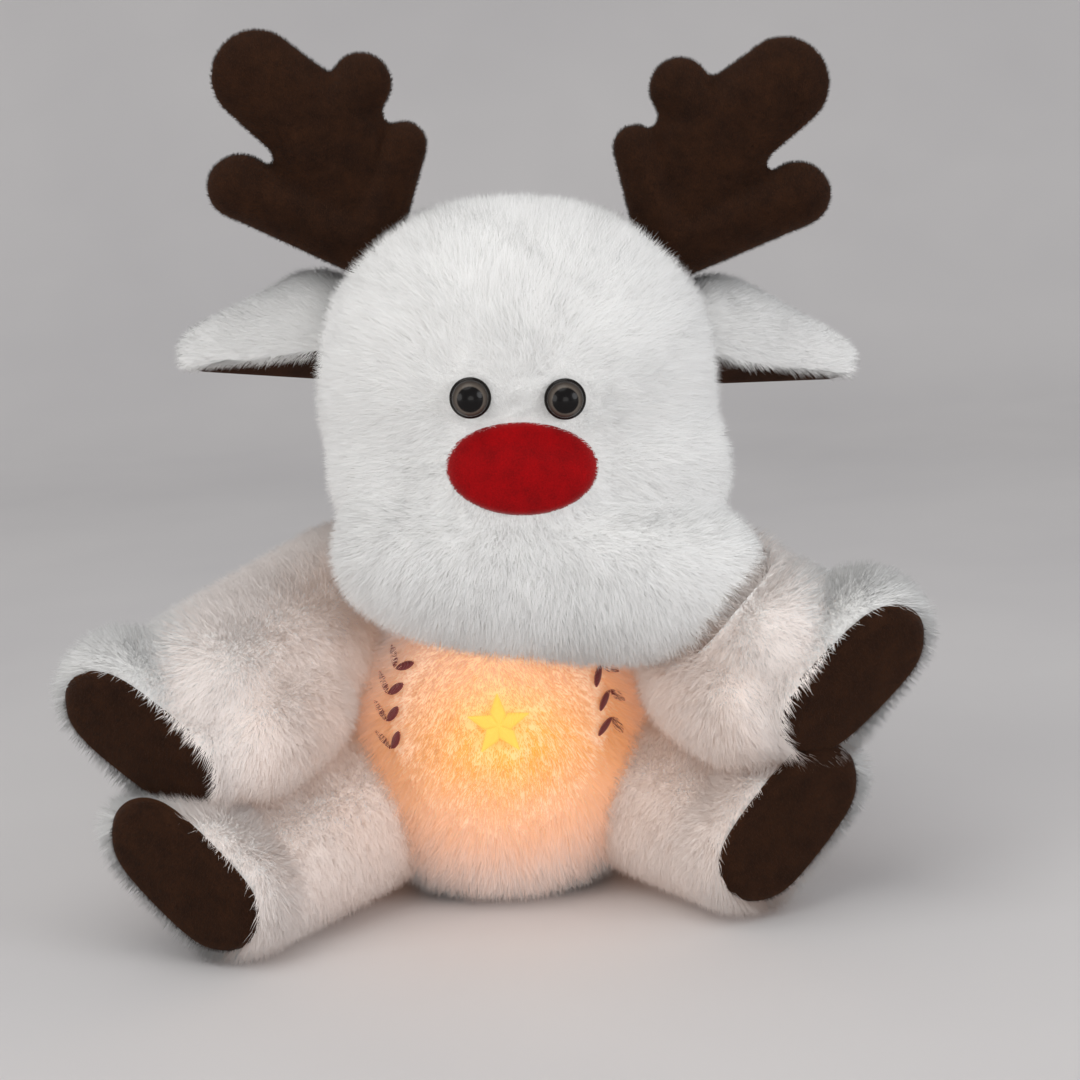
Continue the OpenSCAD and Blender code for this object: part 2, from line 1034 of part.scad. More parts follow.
module left_arm_skin() arm_skin(LEFT);
module left_arm_stuffing() arm_stuffing(LEFT);
module left_paw_pad() paw_pad(LEFT);
module right_arm_skin() arm_skin(RIGHT);
module right_arm_stuffing() arm_stuffing(RIGHT);
module right_paw_pad() paw_pad(RIGHT);
module left_leg_skin() leg_skin(LEFT);
module left_leg_stuffing() leg_stuffing(LEFT);
module left_foot_pad() foot_pad(LEFT);
module right_leg_skin() leg_skin(RIGHT);
module right_leg_stuffing() leg_stuffing(RIGHT);
module right_foot_pad() foot_pad(RIGHT);

// ---------- all pieces ----------

torso_skin();
torso_stuffing();
belly_panel();
belly_star();
belly_sprigs();
lamp_housing();
lamp_diffuser();
lamp_board();
lamp_leds();
lamp_screws();
lamp_lead();
battery_pouch();
battery_case();
battery_lid();
battery_lid_screw();
battery_cells();
battery_contacts();
switch_body();
switch_knob();
loop_tape();
hook_tape();
back_flap();
neck_core();
head_skin();
head_stuffing();
nose();
left_eye();
right_eye();
eye_stems();
eye_washers();
left_antler_skin();
left_antler_stuffing();
right_antler_skin();
right_antler_stuffing();
left_ear_outer();
left_ear_lining();
right_ear_outer();
right_ear_lining();
left_arm_skin();
left_arm_stuffing();
left_paw_pad();
right_arm_skin();
right_arm_stuffing();
right_paw_pad();
left_leg_skin();
left_leg_stuffing();
left_foot_pad();
right_leg_skin();
right_leg_stuffing();
right_foot_pad();
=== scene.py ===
"""Looks of the seated light-up plush reindeer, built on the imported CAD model.

Lengths inside this script are in millimetres until a mesh is made. The stuffed parts are
remeshed from the same rounded shapes as the CAD solids, and their pile is real mesh: thin
tapered spikes, combed and drawn into tufts, on the same body as their cloth.
"""

import math

import bpy
import bmesh
import numpy as np
from mathutils import Matrix, Vector
from mathutils.bvhtree import BVHTree
from mathutils.kdtree import KDTree


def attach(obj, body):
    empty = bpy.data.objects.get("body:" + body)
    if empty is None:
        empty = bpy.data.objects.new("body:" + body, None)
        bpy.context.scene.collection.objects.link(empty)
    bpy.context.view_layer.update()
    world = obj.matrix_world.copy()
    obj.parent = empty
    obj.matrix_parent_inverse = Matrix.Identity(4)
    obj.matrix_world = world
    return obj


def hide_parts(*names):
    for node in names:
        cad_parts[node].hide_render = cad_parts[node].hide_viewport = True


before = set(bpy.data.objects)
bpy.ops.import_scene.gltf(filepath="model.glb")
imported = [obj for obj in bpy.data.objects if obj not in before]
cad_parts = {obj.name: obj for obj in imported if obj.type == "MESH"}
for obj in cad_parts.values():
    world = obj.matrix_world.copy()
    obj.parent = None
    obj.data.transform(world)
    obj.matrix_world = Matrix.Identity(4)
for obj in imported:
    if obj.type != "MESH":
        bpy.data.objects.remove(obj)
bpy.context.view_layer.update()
MM = 0.001
SIDES = ((1, "left"), (-1, "right"))


def vec(*numbers):
    return np.array(numbers, float)


# ---------- the CAD's own measures, in millimetres ----------

NECK = vec(9.0, 4.0, 122.0)
TILT = math.radians(4.3)
HEAD_R = 69.0
# Middle, half width, radius, bluntness and sag in degrees of the head's rounded shapes
SKULL = (vec(0.0, 0.0, 79.0), 75.0, HEAD_R, 2.3, 0.0)
CHEEKS = (vec(13.0, -46.0, 14.5), 80.0, 34.0, 2.6, 5.0)
BROW = (vec(5.0, -22.0, 48.0), 75.0, 45.0, 2.3, 0.0)
SNOUT = (vec(0.0, -46.0, 46.0), 44.0, 29.0, 2.2, 0.0)
HEAD_SHAPES = (SKULL, CHEEKS, BROW, SNOUT)
EYE_GAP, EYE_D, EYE_Z = 35.0, 15.0, 81.0
NOSE_AT, NOSE_W, NOSE_H = vec(2.0, -73.0, 55.0), 57.0, 34.0
SHOULDER, HIP = vec(57.0, 13.0, 110.0), vec(44.0, -2.0, 41.0)
ELBOW, HEEL, SAG_R = vec(84.0, -40.0, 88.0), vec(95.0, -62.0, 82.0), 24.0
ARM_R, PAW_R, THIGH_R, LEG_R, FOOT_R = 33.0, 24.0, 32.0, 27.0, 24.0
TORSO_R, TORSO_MID, TORSO_RISE = 61.0, 60.0, 88.0
PAD_LEN, PAD_W = 70.0, 41.0
PAW_FACE, FOOT_FACE = vec(0.40, -0.84, -0.36), vec(0.44, -0.88, -0.16)
PAW_OUT, FOOT_OUT, PAW_HALF, FOOT_HALF = 11.0, 13.0, 15.0, 16.0
SPLIT_AT, SPLIT_Z, SPLIT_RISE, SPLIT_R = (50.0, 5.0), 57.0, 17.0, (80.0, 10.0)
LAMP = vec(0.0, -61.0, 76.0)
PANEL_Z, PANEL_D, STAR_R, SPRIG_R = 78.0, 84.0, 12, 43
ANTLER_ROOT, ANTLER_T = vec(58.0, 2.0, 126.0), 22.0
EAR_ROOT, EAR_LEN, EAR_R, EAR_TIP_R = vec(79.0, 4.0, 99.0), 45.0, 22.0, 9.0
EAR_FLAT, EAR_SEAM, EAR_TILT = 0.42, -2.0, math.radians(36)
SKIN_IN = 1.6  # the modelled cloth lies this far inside the CAD's pressed pile


def drawn_in(side):
    return (side + 1) / 2 * 14 * vec(-0.9, 1.0, 0.1)


def wrist(side):
    return vec(108.0, -54.0, 99 + side * 6 / 4)


def paw_mid(side):
    return vec(128.0, -68.0, 92 + side * 6 / 2)


def ankle(side):
    return vec(97.0, -62.0, LEG_R) + 0.7 * drawn_in(side)


def foot_mid(side):
    return vec(114.0, -78.0, 38.0) + drawn_in(side)


def end_at(mid, half, s):
    k = math.cos(math.radians(45))
    return mid + s * half * vec(k, 0.12, k)


def unit(v):
    v = np.asarray(v, float)
    return v / np.maximum(np.linalg.norm(v, axis=-1, keepdims=True), 1e-9)


def in_head(p):
    """Points of the head's own leaning frame, in the row frame."""
    c, s = math.cos(TILT), math.sin(TILT)
    x, y, z = np.moveaxis(np.asarray(p, float), -1, 0)
    return np.stack([x * c + z * s, y, -x * s + z * c], -1) + NECK


def to_head(p):
    c, s = math.cos(TILT), math.sin(TILT)
    x, y, z = np.moveaxis(np.asarray(p, float) - NECK, -1, 0)
    return np.stack([x * c - z * s, y, x * s + z * c], -1)


def head_dir(v):
    return in_head(v) - NECK


def mirrored(p, side):
    return np.asarray(p, float) * vec(side, 1.0, 1.0)


# ---------- closed shapes and how deep a point lies in them ----------


def lathe(profile, origin, axis, segments=40):
    """A closed surface round an axis, from (radius, height) pairs that start and end on it."""
    axis = unit(axis)
    side = unit(np.cross(axis, [0.3, 0.5, 0.81] if abs(axis[2]) < 0.9 else [1.0, 0, 0]))
    other = np.cross(axis, side)
    turn = np.linspace(0, 2 * math.pi, segments, endpoint=False)
    ring = np.cos(turn)[:, None] * side + np.sin(turn)[:, None] * other
    verts = [origin + axis * profile[0][1]]
    for r, h in profile[1:-1]:
        verts.extend(origin + axis * h + ring * r)
    verts.append(origin + axis * profile[-1][1])
    faces, rows = [], len(profile) - 2
    for k in range(segments):
        n = (k + 1) % segments
        faces.append((0, 1 + n, 1 + k))
        for j in range(rows - 1):
            a, b = 1 + j * segments, 1 + (j + 1) * segments
            faces.append((a + k, a + n, b + n, b + k))
        last = 1 + (rows - 1) * segments
        faces.append((last + k, last + n, len(verts) - 1))
    return np.array(verts), faces


def cushion(mid, half, r, blunt, sag, steps=14):
    rows = []
    for i in range(-steps, steps + 1):
        t = math.pi / 2 * i / steps
        rows.append((r * max(math.cos(t), 0) ** (2 / blunt),
                     math.copysign(half * abs(math.sin(t)) ** (2 / blunt), t)))
    a = math.radians(sag)
    verts, faces = lathe(rows, mid, [math.cos(a), 0, -math.sin(a)])
    return in_head(verts), faces


def pill(p, q, r1, r2, steps=10):
    length = np.linalg.norm(q - p)
    lean = math.asin((r1 - r2) / length)
    rows = []
    for i in range(steps + 1):
        t = -math.pi / 2 + (lean + math.pi / 2) * i / steps
        rows.append((r1 * math.cos(t), r1 * math.sin(t)))
    for i in range(steps + 1):
        t = lean + (math.pi / 2 - lean) * i / steps
        rows.append((r2 * math.cos(t), length + r2 * math.sin(t)))
    return lathe(rows, p, q - p)


def in_pill(p, a, b, r1, r2):
    t = np.clip((p - a) @ (b - a) / ((b - a) @ (b - a)), 0, 1)
    return r1 + (r2 - r1) * t - np.linalg.norm(p - a - t[:, None] * (b - a), axis=1)


def in_cushion(local, mid, half, r, blunt, sag):
    a = math.radians(sag)
    q = local - mid
    x = q @ vec(math.cos(a), 0, -math.sin(a))
    up = q @ vec(math.sin(a), 0, math.cos(a))
    f = ((np.abs(x) / half) ** blunt + (np.hypot(q[:, 1], up) / r) ** blunt) ** (1 / blunt)
    return (1 - f) * min(half, r)


def depth_head(p):
    q = to_head(p)
    return np.maximum.reduce([in_cushion(q, *shape) for shape in HEAD_SHAPES])


def torso_profile(inset=0.0):
    r, rise = TORSO_R - inset, TORSO_RISE - inset
    lo, hi = -math.asin((TORSO_MID - inset) / (TORSO_R + 3)), math.radians(82)
    rows = [(0.0, inset)]
    for i in range(17):
        t = lo * (1 - i / 16)
        z = TORSO_MID + (TORSO_MID - inset) * math.sin(t) / -math.sin(lo)
        rows.append((r * math.cos(t) ** 0.75, z))
    for i in range(1, 17):
        t = hi * i / 16
        rows.append((r * math.cos(t), TORSO_MID + rise * math.sin(t)))
    rows.append((0.0, TORSO_MID + rise * math.sin(hi)))
    return rows


TORSO_ROWS = np.array(torso_profile())


def depth_torso(p):
    r = np.interp(p[:, 2], TORSO_ROWS[:, 1], TORSO_ROWS[:, 0])
    return r - np.hypot(p[:, 0], p[:, 1])


def end_rod(mid, half, r):
    return end_at(mid, half, -1), end_at(mid, half, 1), r, r - 1


def arm_rods(side, inset=0.0):
    return [(SHOULDER, wrist(side), ARM_R - inset, ARM_R - 3 - inset),
            (ELBOW, HEEL, SAG_R + 2 - inset, SAG_R - inset), end_rod(paw_mid(side), PAW_HALF, PAW_R - inset)]


def leg_rods(side, inset=0.0):
    return [(HIP, ankle(side), THIGH_R - inset, LEG_R - inset),
            end_rod(foot_mid(side), FOOT_HALF, FOOT_R - inset)]


def split_height(p, side):
    """How high the legs may reach at each point; the arms stay just above that."""
    q = mirrored(p, side)
    away = np.hypot(q[:, 0] - SPLIT_AT[0], q[:, 1] - SPLIT_AT[1])
    return SPLIT_Z + SPLIT_RISE * np.clip((SPLIT_R[0] - away) / (SPLIT_R[0] - SPLIT_R[1]), 0, 1)


def depth_rods(p, rods, side):
    q = mirrored(p, side)
    return np.maximum.reduce([in_pill(q, *rod) for rod in rods])


# ---------- meshes ----------


def make_mesh(name, verts, faces):
    mesh = bpy.data.meshes.new(name)
    mesh.from_pydata((np.asarray(verts) * MM).tolist(), [], [tuple(int(i) for i in f) for f in faces])
    mesh.update()
    return mesh


def in_scene(name, data):
    obj = bpy.data.objects.new(name, data)
    bpy.context.scene.collection.objects.link(obj)
    return obj


def place(name, mesh, body, material=None, smooth=True):
    obj = in_scene(name, mesh)
    if smooth:
        mesh.shade_smooth()
    if material is not None:
        mesh.materials.append(material)
    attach(obj, body)
    return obj


def dress(name, mesh, body, material, nodes):
    """A piece that stands for CAD nodes, which it hides."""
    obj = place(name, mesh, body, material)
    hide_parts(*nodes)


def from_bm(bm, name):
    mesh = bpy.data.meshes.new(name)
    bm.to_mesh(mesh)
    bm.free()
    return mesh


def joined(shapes):
    verts, faces, start = [], [], 0
    for v, f in shapes:
        verts.append(v)
        faces.extend(tuple(i + start for i in face) for face in f)
        start += len(v)
    return np.concatenate(verts), faces


def baked(obj, mesh_name):
    """The object's mesh with its modifiers, as a new mesh; the object is removed."""
    deps = bpy.context.evaluated_depsgraph_get()
    mesh = bpy.data.meshes.new_from_object(obj.evaluated_get(deps))
    mesh.name = mesh_name
    old = obj.data
    bpy.data.objects.remove(obj)
    if old.users == 0:
        bpy.data.meshes.remove(old)
    return mesh


def disc_faces(rings, turns):
    """Faces of a disc whose points are its middle and then ring after ring."""
    faces = []
    for k in range(turns):
        m = (k + 1) % turns
        faces.append((0, 1 + k, 1 + m))
        for i in range(rings - 1):
            a, b = 1 + i * turns, 1 + (i + 1) * turns
            faces.append((a + k, b + k, b + m, a + m))
    return faces


def stuffed(name, shapes, voxel=3.0, smooth=8):
    """One soft closed surface over overlapping closed shapes."""
    obj = in_scene(name, make_mesh(name, *joined(shapes)))
    grid = obj.modifiers.new("grid", "REMESH")
    grid.mode, grid.voxel_size = "VOXEL", voxel * MM
    soften = obj.modifiers.new("soften", "SMOOTH")
    soften.factor, soften.iterations = 0.5, smooth
    return baked(obj, name)


def rows_of(items, key, kind):
    a = np.empty(len(items) * 3, kind)
    items.foreach_get(key, a)
    return a.reshape(-1, 3)


def coords(mesh):
    return rows_of(mesh.vertices, "co", np.float32).astype(float) / MM


def set_coords(mesh, p):
    mesh.vertices.foreach_set("co", (np.asarray(p) * MM).astype(np.float32).ravel())
    mesh.update()


def normals(mesh):
    return rows_of(mesh.vertices, "normal", np.float32).astype(float)


def triangles(mesh):
    mesh.calc_loop_triangles()
    return rows_of(mesh.loop_triangles, "vertices", np.int32)


def pressed(p, mid, face, out, side, crown=0.0, reach=40.0):
    """Points beyond a pad's plane, pressed back to it, with a slight crown in the middle."""
    q, n = mirrored(p, side), unit(face)
    over = (q - mid) @ n
    flat = q - mid - over[:, None] * n
    target = out + crown * np.clip(1 - (np.linalg.norm(flat, axis=1) / reach) ** 2, 0, 1)
    back = np.maximum(over - target, 0)
    return mirrored(q - back[:, None] * n, side)


def kept_out(p, depth, clear):
    """Points moved out of another shape, along that shape's own outward direction."""
    p = p.copy()
    for _ in range(3):
        d = depth(p) + clear
        hit = d > 0
        if not hit.any():
            break
        q, grad = p[hit], np.zeros((hit.sum(), 3))
        for k in range(3):
            step = np.zeros(3)
            step[k] = 0.5
            grad[:, k] = depth(q - step) - depth(q + step)
        p[hit] = q + unit(grad) * d[hit, None] * 0.9
    return p


def swell(mesh, cap, frames=20):
    """Blows the closed cloth up from inside by cloth simulation, and caps how far a point moves."""
    scene = bpy.context.scene
    before = coords(mesh)
    obj = in_scene("swell", mesh.copy())
    cloth = obj.modifiers.new("cloth", "CLOTH")
    s = cloth.settings
    s.quality, s.mass = 5, 0.25
    s.use_pressure, s.uniform_pressure_force = True, 6.0
    s.tension_stiffness = s.compression_stiffness = 8.0
    s.shear_stiffness, s.bending_stiffness = 4.0, 0.6
    s.effector_weights.gravity = 0
    cloth.collision_settings.use_collision = False
    scene.frame_start, scene.frame_end = 1, frames
    for i in range(1, frames + 1):
        scene.frame_set(i)
    moved = baked(obj, "swollen")
    step = coords(moved) - before
    bpy.data.meshes.remove(moved)
    size = np.linalg.norm(step, axis=1, keepdims=True)
    set_coords(mesh, before + step * np.minimum(1, cap / np.maximum(size, 1e-6)))
    scene.frame_set(1)


# ---------- materials ----------


class Nodes:
    """A short way to write a node material with one Principled shader."""

    def __init__(self, name, **fixed):
        self.mat = bpy.data.materials.new(name)
        self.mat.use_nodes = True
        self.tree = self.mat.node_tree
        self.shader = self.tree.nodes["Principled BSDF"]
        for key, value in fixed.items():
            self.shader.inputs[key.replace("_", " ")].default_value = value

    def add(self, kind, **inputs):
        node = self.tree.nodes.new("ShaderNode" + kind)
        for key, value in inputs.items():
            if hasattr(node, key) and key not in node.inputs:
                setattr(node, key, value)
            else:
                self.put(node.inputs[key.replace("_", " ")], value)
        return node

    def put(self, socket, value):
        if isinstance(value, bpy.types.NodeSocket):
            self.tree.links.new(value, socket)
        else:
            socket.default_value = value

    def coord(self):
        return self.add("TexCoord").outputs["Object"]

    def noise(self, scale, detail=3.0, at=None, rough=0.55, stretch=None):
        at = at or self.coord()
        if stretch:
            at = self.add("Mapping", Vector=at, Scale=stretch).outputs["Vector"]
        return self.add("TexNoise", Vector=at, Scale=scale, Detail=detail, Roughness=rough).outputs["Fac"]

    def ramp(self, fac, *stops):
        node = self.add("ValToRGB", Fac=fac)
        ramp = node.color_ramp
        while len(ramp.elements) < len(stops):
            ramp.elements.new(0.5)
        for e, (at, colour) in zip(ramp.elements, stops):
            e.position, e.color = at, (*colour, 1)
        return node.outputs["Color"]

    def math(self, how, a, b=0.0, clamp=False):
        node = self.add("Math")
        node.operation, node.use_clamp = how, clamp
        self.put(node.inputs[0], a)
        self.put(node.inputs[1], b)
        return node.outputs[0]

    def blend(self, a, b, share):
        """A mix of two grains, with that share of the first."""
        return self.math("ADD", self.math("MULTIPLY", a, share), self.math("MULTIPLY", b, 1 - share))

    def vector(self, how, a, b=None):
        node = self.add("VectorMath", operation=how)
        self.put(node.inputs[0], a)
        if b is not None:
            node.inputs[1].default_value = tuple(b)
        return node.outputs

    def lit(self, colour, strength):
        self.shader.inputs["Emission Color"].default_value = (*colour, 1)
        self.shader.inputs["Emission Strength"].default_value = strength

    def bump(self, height, strength=0.4, distance=0.0004):
        node = self.add("Bump", Strength=strength, Distance=distance, Height=height)
        self.put(self.shader.inputs["Normal"], node.outputs["Normal"])

    def colour(self, socket):
        self.put(self.shader.inputs["Base Color"], socket)

    def rough(self, fac, low, high):
        node = self.add("MapRange", Value=fac)
        node.inputs["To Min"].default_value, node.inputs["To Max"].default_value = low, high
        self.put(self.shader.inputs["Roughness"], node.outputs["Result"])


def srgb(r, g, b):
    return tuple((c / 255 / 12.92) if c <= 10 else ((c / 255 + 0.055) / 1.055) ** 2.4 for c in (r, g, b))


def cloth_back(name, light, dark):
    """The woven backing under a pile."""
    n = Nodes(name, Roughness=0.95, Sheen_Weight=0.3, Specular_IOR_Level=0.1)
    fine = n.noise(900, 4)
    patch = n.noise(60, 2)
    n.colour(n.ramp(n.blend(fine, patch, 0.5), (0.3, dark), (0.7, light)))
    n.rough(patch, 0.88, 0.98)
    n.bump(fine, 0.6, 0.0008)
    return n.mat


def fibre(name, colour, glow=None, strength=0.0, sheen=0.15):
    """One tint of fibre. A tint is the same all over, and a fur takes its tints tuft by tuft."""
    n = Nodes(name, Roughness=0.85, Sheen_Weight=sheen, Sheen_Roughness=0.5, Specular_IOR_Level=0.15)
    n.shader.inputs["Base Color"].default_value = (*colour, 1)
    if glow:
        n.lit(glow, strength)
    return n.mat


def velboa(name, light, dark):
    """Short brushed pile: fine grain, cloudy nap marks and a soft sheen."""
    n = Nodes(name, Roughness=0.9, Sheen_Weight=0.35, Sheen_Roughness=0.45, Specular_IOR_Level=0.12)
    n.shader.inputs["Sheen Tint"].default_value = (*[min(1, c * 7) for c in light], 1)
    grain = n.noise(2600, 3, stretch=(1, 1, 0.45))
    nap = n.noise(95, 3, rough=0.6)
    n.colour(n.ramp(n.blend(grain, nap, 0.45), (0.34, dark), (0.66, light)))
    n.rough(nap, 0.82, 0.97)
    n.bump(n.math("ADD", grain, n.math("MULTIPLY", nap, 0.8)), 0.55, 0.0006)
    return n.mat


def plastic(name, colour, rough, coat=0.0):
    n = Nodes(name, Coat_Weight=coat, Coat_Roughness=0.08)
    fine = n.noise(1800, 2)
    cloud = n.noise(45, 3)
    n.colour(n.ramp(cloud, (0.3, [c * 0.9 for c in colour]), (0.7, colour)))
    n.rough(fine, rough * 0.85, rough * 1.15)
    n.bump(fine, 0.15, 0.0001)
    return n.mat


def metal(name, colour, rough):
    n = Nodes(name, Metallic=1.0)
    brushed = n.noise(700, 4, stretch=(1, 1, 0.08))
    n.colour(n.ramp(brushed, (0.3, [c * 0.8 for c in colour]), (0.7, colour)))
    n.rough(brushed, rough * 0.7, rough * 1.4)
    n.bump(brushed, 0.12, 0.00008)
    return n.mat


def thread(name, colour, dark, glow):
    """Twisted embroidery thread."""
    n = Nodes(name, Roughness=0.55, Sheen_Weight=0.4)
    twist = n.add("TexWave", Vector=n.coord(), Scale=900.0, Distortion=1.5, Detail=2.0).outputs["Fac"]
    n.colour(n.ramp(twist, (0.2, dark), (0.8, colour)))
    n.rough(twist, 0.42, 0.6)
    n.bump(twist, 0.5, 0.0002)
    if glow:
        n.lit(colour, glow)
    return n.mat


WHITE = [fibre(f"fibre_white_{i + 1}", colour) for i, colour in enumerate(
    [(0.92, 0.92, 0.91), (0.90, 0.895, 0.88), (0.94, 0.935, 0.925), (0.91, 0.90, 0.885)])]
PLUSH = cloth_back("plush_backing", (0.90, 0.895, 0.88), (0.80, 0.79, 0.775))
BROWN = velboa("brown_velboa", srgb(55, 32, 18), srgb(31, 16, 8))
BROWN_NAP = [fibre(f"fibre_brown_{i + 1}", srgb(*colour), sheen=0.1)
             for i, colour in enumerate([(60, 36, 21), (46, 27, 15), (36, 20, 11)])]
LINING = velboa("lining_velboa", srgb(50, 30, 20), srgb(30, 17, 10))


# ---------- pile ----------


def swirl(p, seed, scale):
    """A smooth made-up direction at each point, so that combed pile wanders a little."""
    r = np.random.default_rng(seed)
    out = np.zeros_like(p)
    for k in range(3):
        for f in (1.0, 2.1, 4.3):
            wave = p @ (unit(r.normal(size=3)) * 2 * math.pi * f / scale) + r.uniform(0, 6.28)
            out[:, k] += np.sin(wave) / f
    return out


def pile(name, mesh, body, count, length, comb, seed, tints=WHITE, lean=42.0, width=0.34,
         clump=2.6, pull=0.18, keep=None, tint_of=None, wander=0.4):
    """Blades of fibre all over a cloth. comb gives their direction over the cloth, and keep how
    long each grows, from 0 (none) to 1. tint_of picks a tint by place."""
    rng = np.random.default_rng(seed)
    p, n, tri = coords(mesh), normals(mesh), triangles(mesh)
    a, b, c = p[tri[:, 0]], p[tri[:, 1]], p[tri[:, 2]]
    area = np.linalg.norm(np.cross(b - a, c - a), axis=1)
    pick = rng.choice(len(tri), count, p=area / area.sum())
    u, v = rng.random(count), rng.random(count)
    flip = u + v > 1
    u[flip], v[flip] = 1 - u[flip], 1 - v[flip]
    t = tri[pick]
    w = np.stack([1 - u - v, u, v], 1)
    root = np.einsum("ij,ijk->ik", w, p[t])
    up = unit(np.einsum("ij,ijk->ik", w, n[t]))
    grow = np.ones(count) if keep is None else keep(root, up)
    use = grow > 0.12
    root, up, grow = root[use], up[use], grow[use]
    m = len(root)
    along = comb(root, up) + wander * swirl(root, seed + 1, 38.0)
    along = unit(along - np.sum(along * up, 1, keepdims=True) * up)
    tilt = np.radians(rng.normal(lean, 7.0, m))[:, None]
    start = unit(up * np.cos(tilt * 0.75) + along * np.sin(tilt * 0.75) + rng.normal(0, 0.16, (m, 3)))
    end = unit(up * np.cos(tilt) + along * np.sin(tilt) + rng.normal(0, 0.20, (m, 3)))
    size = (length * grow * rng.uniform(0.72, 1.12, m))[:, None]
    mid = root + start * size * 0.5
    tip = mid + end * size * 0.55
    # tufts: tips draw together
    seeds = rng.choice(m, max(m // max(int(count * clump * clump / area.sum() * 2), 2), 8), replace=False)
    tree = KDTree(len(seeds))
    for i, s in enumerate(seeds):
        tree.insert(mid[s], i)
    tree.balance()
    near = np.fromiter((tree.find(q)[1] for q in mid), int, m)
    lead = seeds[near]
    gap = np.linalg.norm(mid - mid[lead], axis=1, keepdims=True)
    draw = pull * np.clip(1 - gap / (clump * 2.2), 0, 1) * rng.uniform(0.5, 1.0, (m, 1))
    tip += (tip[lead] - tip) * draw
    mid += (mid[lead] - mid) * draw * 0.45
    mid[:, 2], tip[:, 2] = np.maximum(mid[:, 2], 0.5), np.maximum(tip[:, 2], 0.3)
    # each fibre is a thin three-sided spike, so that it shows an outer face from anywhere
    d = unit(tip - root)
    flat = unit(np.cross(d, up + rng.normal(0, 0.2, (m, 3))))
    deep = np.cross(d, flat)
    half = width / 2 * rng.uniform(0.75, 1.25, (m, 1))
    foot = root - up * 0.6
    ring = [foot + half * (flat * math.cos(a) + deep * math.sin(a)) for a in (0.0, 2.094, 4.189)]
    verts = np.stack([*ring, tip], 1).reshape(-1, 3)
    soft = unit(up - d * np.sum(d * up, 1, keepdims=True))
    face = unit(up * 0.8 + soft * 0.2 + rng.normal(0, 0.06, (m, 3)))
    mesh_out = bpy.data.meshes.new(name)
    mesh_out.vertices.add(m * 4)
    mesh_out.vertices.foreach_set("co", (verts * MM).astype(np.float32).ravel())
    first = np.arange(m)[:, None] * 4
    loops = (first + [0, 1, 3, 1, 2, 3, 2, 0, 3]).astype(np.int32)
    mesh_out.loops.add(m * 9)
    mesh_out.loops.foreach_set("vertex_index", loops.ravel())
    mesh_out.polygons.add(m * 3)
    mesh_out.polygons.foreach_set("loop_start", np.arange(0, m * 9, 3, dtype=np.int32))
    which = rng.integers(0, len(tints), m) if tint_of is None else tint_of(root, rng)
    mesh_out.polygons.foreach_set("material_index", np.repeat(which, 3).astype(np.int32))
    mesh_out.polygons.foreach_set("use_smooth", np.ones(m * 3, bool))
    mesh_out.update(calc_edges=True)
    for tint in tints:
        mesh_out.materials.append(tint)
    mesh_out.normals_split_custom_set_from_vertices(np.repeat(face, 4, axis=0).astype(np.float32))
    obj = place(name, mesh_out, body, smooth=False)
    print("PILE", name, m, flush=True)
    return obj


def laid(way):
    """A comb that lays every fibre the same way."""
    return lambda p, up: np.tile(way, (len(p), 1))


def coat(name, mesh, body, layers, *args, **kw):
    """Pile in layers of separate objects. Only the first layer shades what lies under it, as the
    others stand for fibres too fine to cast a shadow of their own."""
    seed, slot = kw.pop("seed"), kw.pop("slot", "white_plush")
    for i in range(layers):
        layer = pile(f"{name}_{i + 1}", mesh, body, *args, seed=seed + 101 * i, **kw)
        layer.visible_shadow = i == 0


def nap(name, mesh, body, count, comb, seed, **kw):
    """The short brown pile of velboa."""
    coat(name, mesh, body, 1, count, 1.7, comb, seed=seed, slot="brown_velboa", tints=BROWN_NAP, lean=46,
         width=0.24, clump=1.2, pull=0.2, **kw)


# ---------- the glow of the belly ----------

# The belly's cloth is white: the warm base colours and the emission of these tints are the lamp's light
# painted onto the fibres, band by band out from the lamp.
GLOW_STOPS = [0, 8, 15, 23, 31, 40, 49, 58, 68, 80, 96]
GLOW_BASE = [(0.92, 0.46, 0.10), (0.90, 0.47, 0.15), (0.89, 0.50, 0.22), (0.88, 0.53, 0.29),
             (0.87, 0.56, 0.36), (0.87, 0.59, 0.43), (0.88, 0.64, 0.52), (0.89, 0.71, 0.62),
             (0.90, 0.79, 0.73), (0.90, 0.84, 0.80)]
GLOW_TINT = [(1.0, 0.40, 0.02), (1.0, 0.38, 0.02), (1.0, 0.36, 0.04), (1.0, 0.35, 0.06), (1.0, 0.35, 0.09),
             (1.0, 0.36, 0.12), (1.0, 0.39, 0.16), (1.0, 0.43, 0.22), (1.0, 0.48, 0.30), (1.0, 0.52, 0.36)]
GLOW_SHINE = [0.36, 0.34, 0.32, 0.32, 0.32, 0.31, 0.28, 0.22, 0.15, 0.08]
GLOW = [fibre(f"fibre_glow_{i + 1}", base, tint, shine)
        for i, (base, tint, shine) in enumerate(zip(GLOW_BASE, GLOW_TINT, GLOW_SHINE))]


def lamp_reach(p):
    """Distance over the belly from the middle of the glow, which spreads wider than it is high."""
    behind = 1.6 * np.maximum(p[:, 1] + 38, 0)
    return np.linalg.norm((p - LAMP - [3.0, 0, -6.0]) * [0.85, 0.5, 1.35], axis=1) + behind


def tint_by(far, stops, rng):
    """The tint of each fibre by its distance, and a plain white one beyond the last stop."""
    band, bands = np.searchsorted(stops, far) - 1, len(stops) - 1
    plain = bands + rng.integers(0, len(WHITE), len(far))
    return np.where(band >= bands, plain, np.clip(band, 0, bands - 1))


def glow_tint(p, rng):
    return tint_by(lamp_reach(p) + rng.normal(0, 3.5, len(p)), GLOW_STOPS, rng)
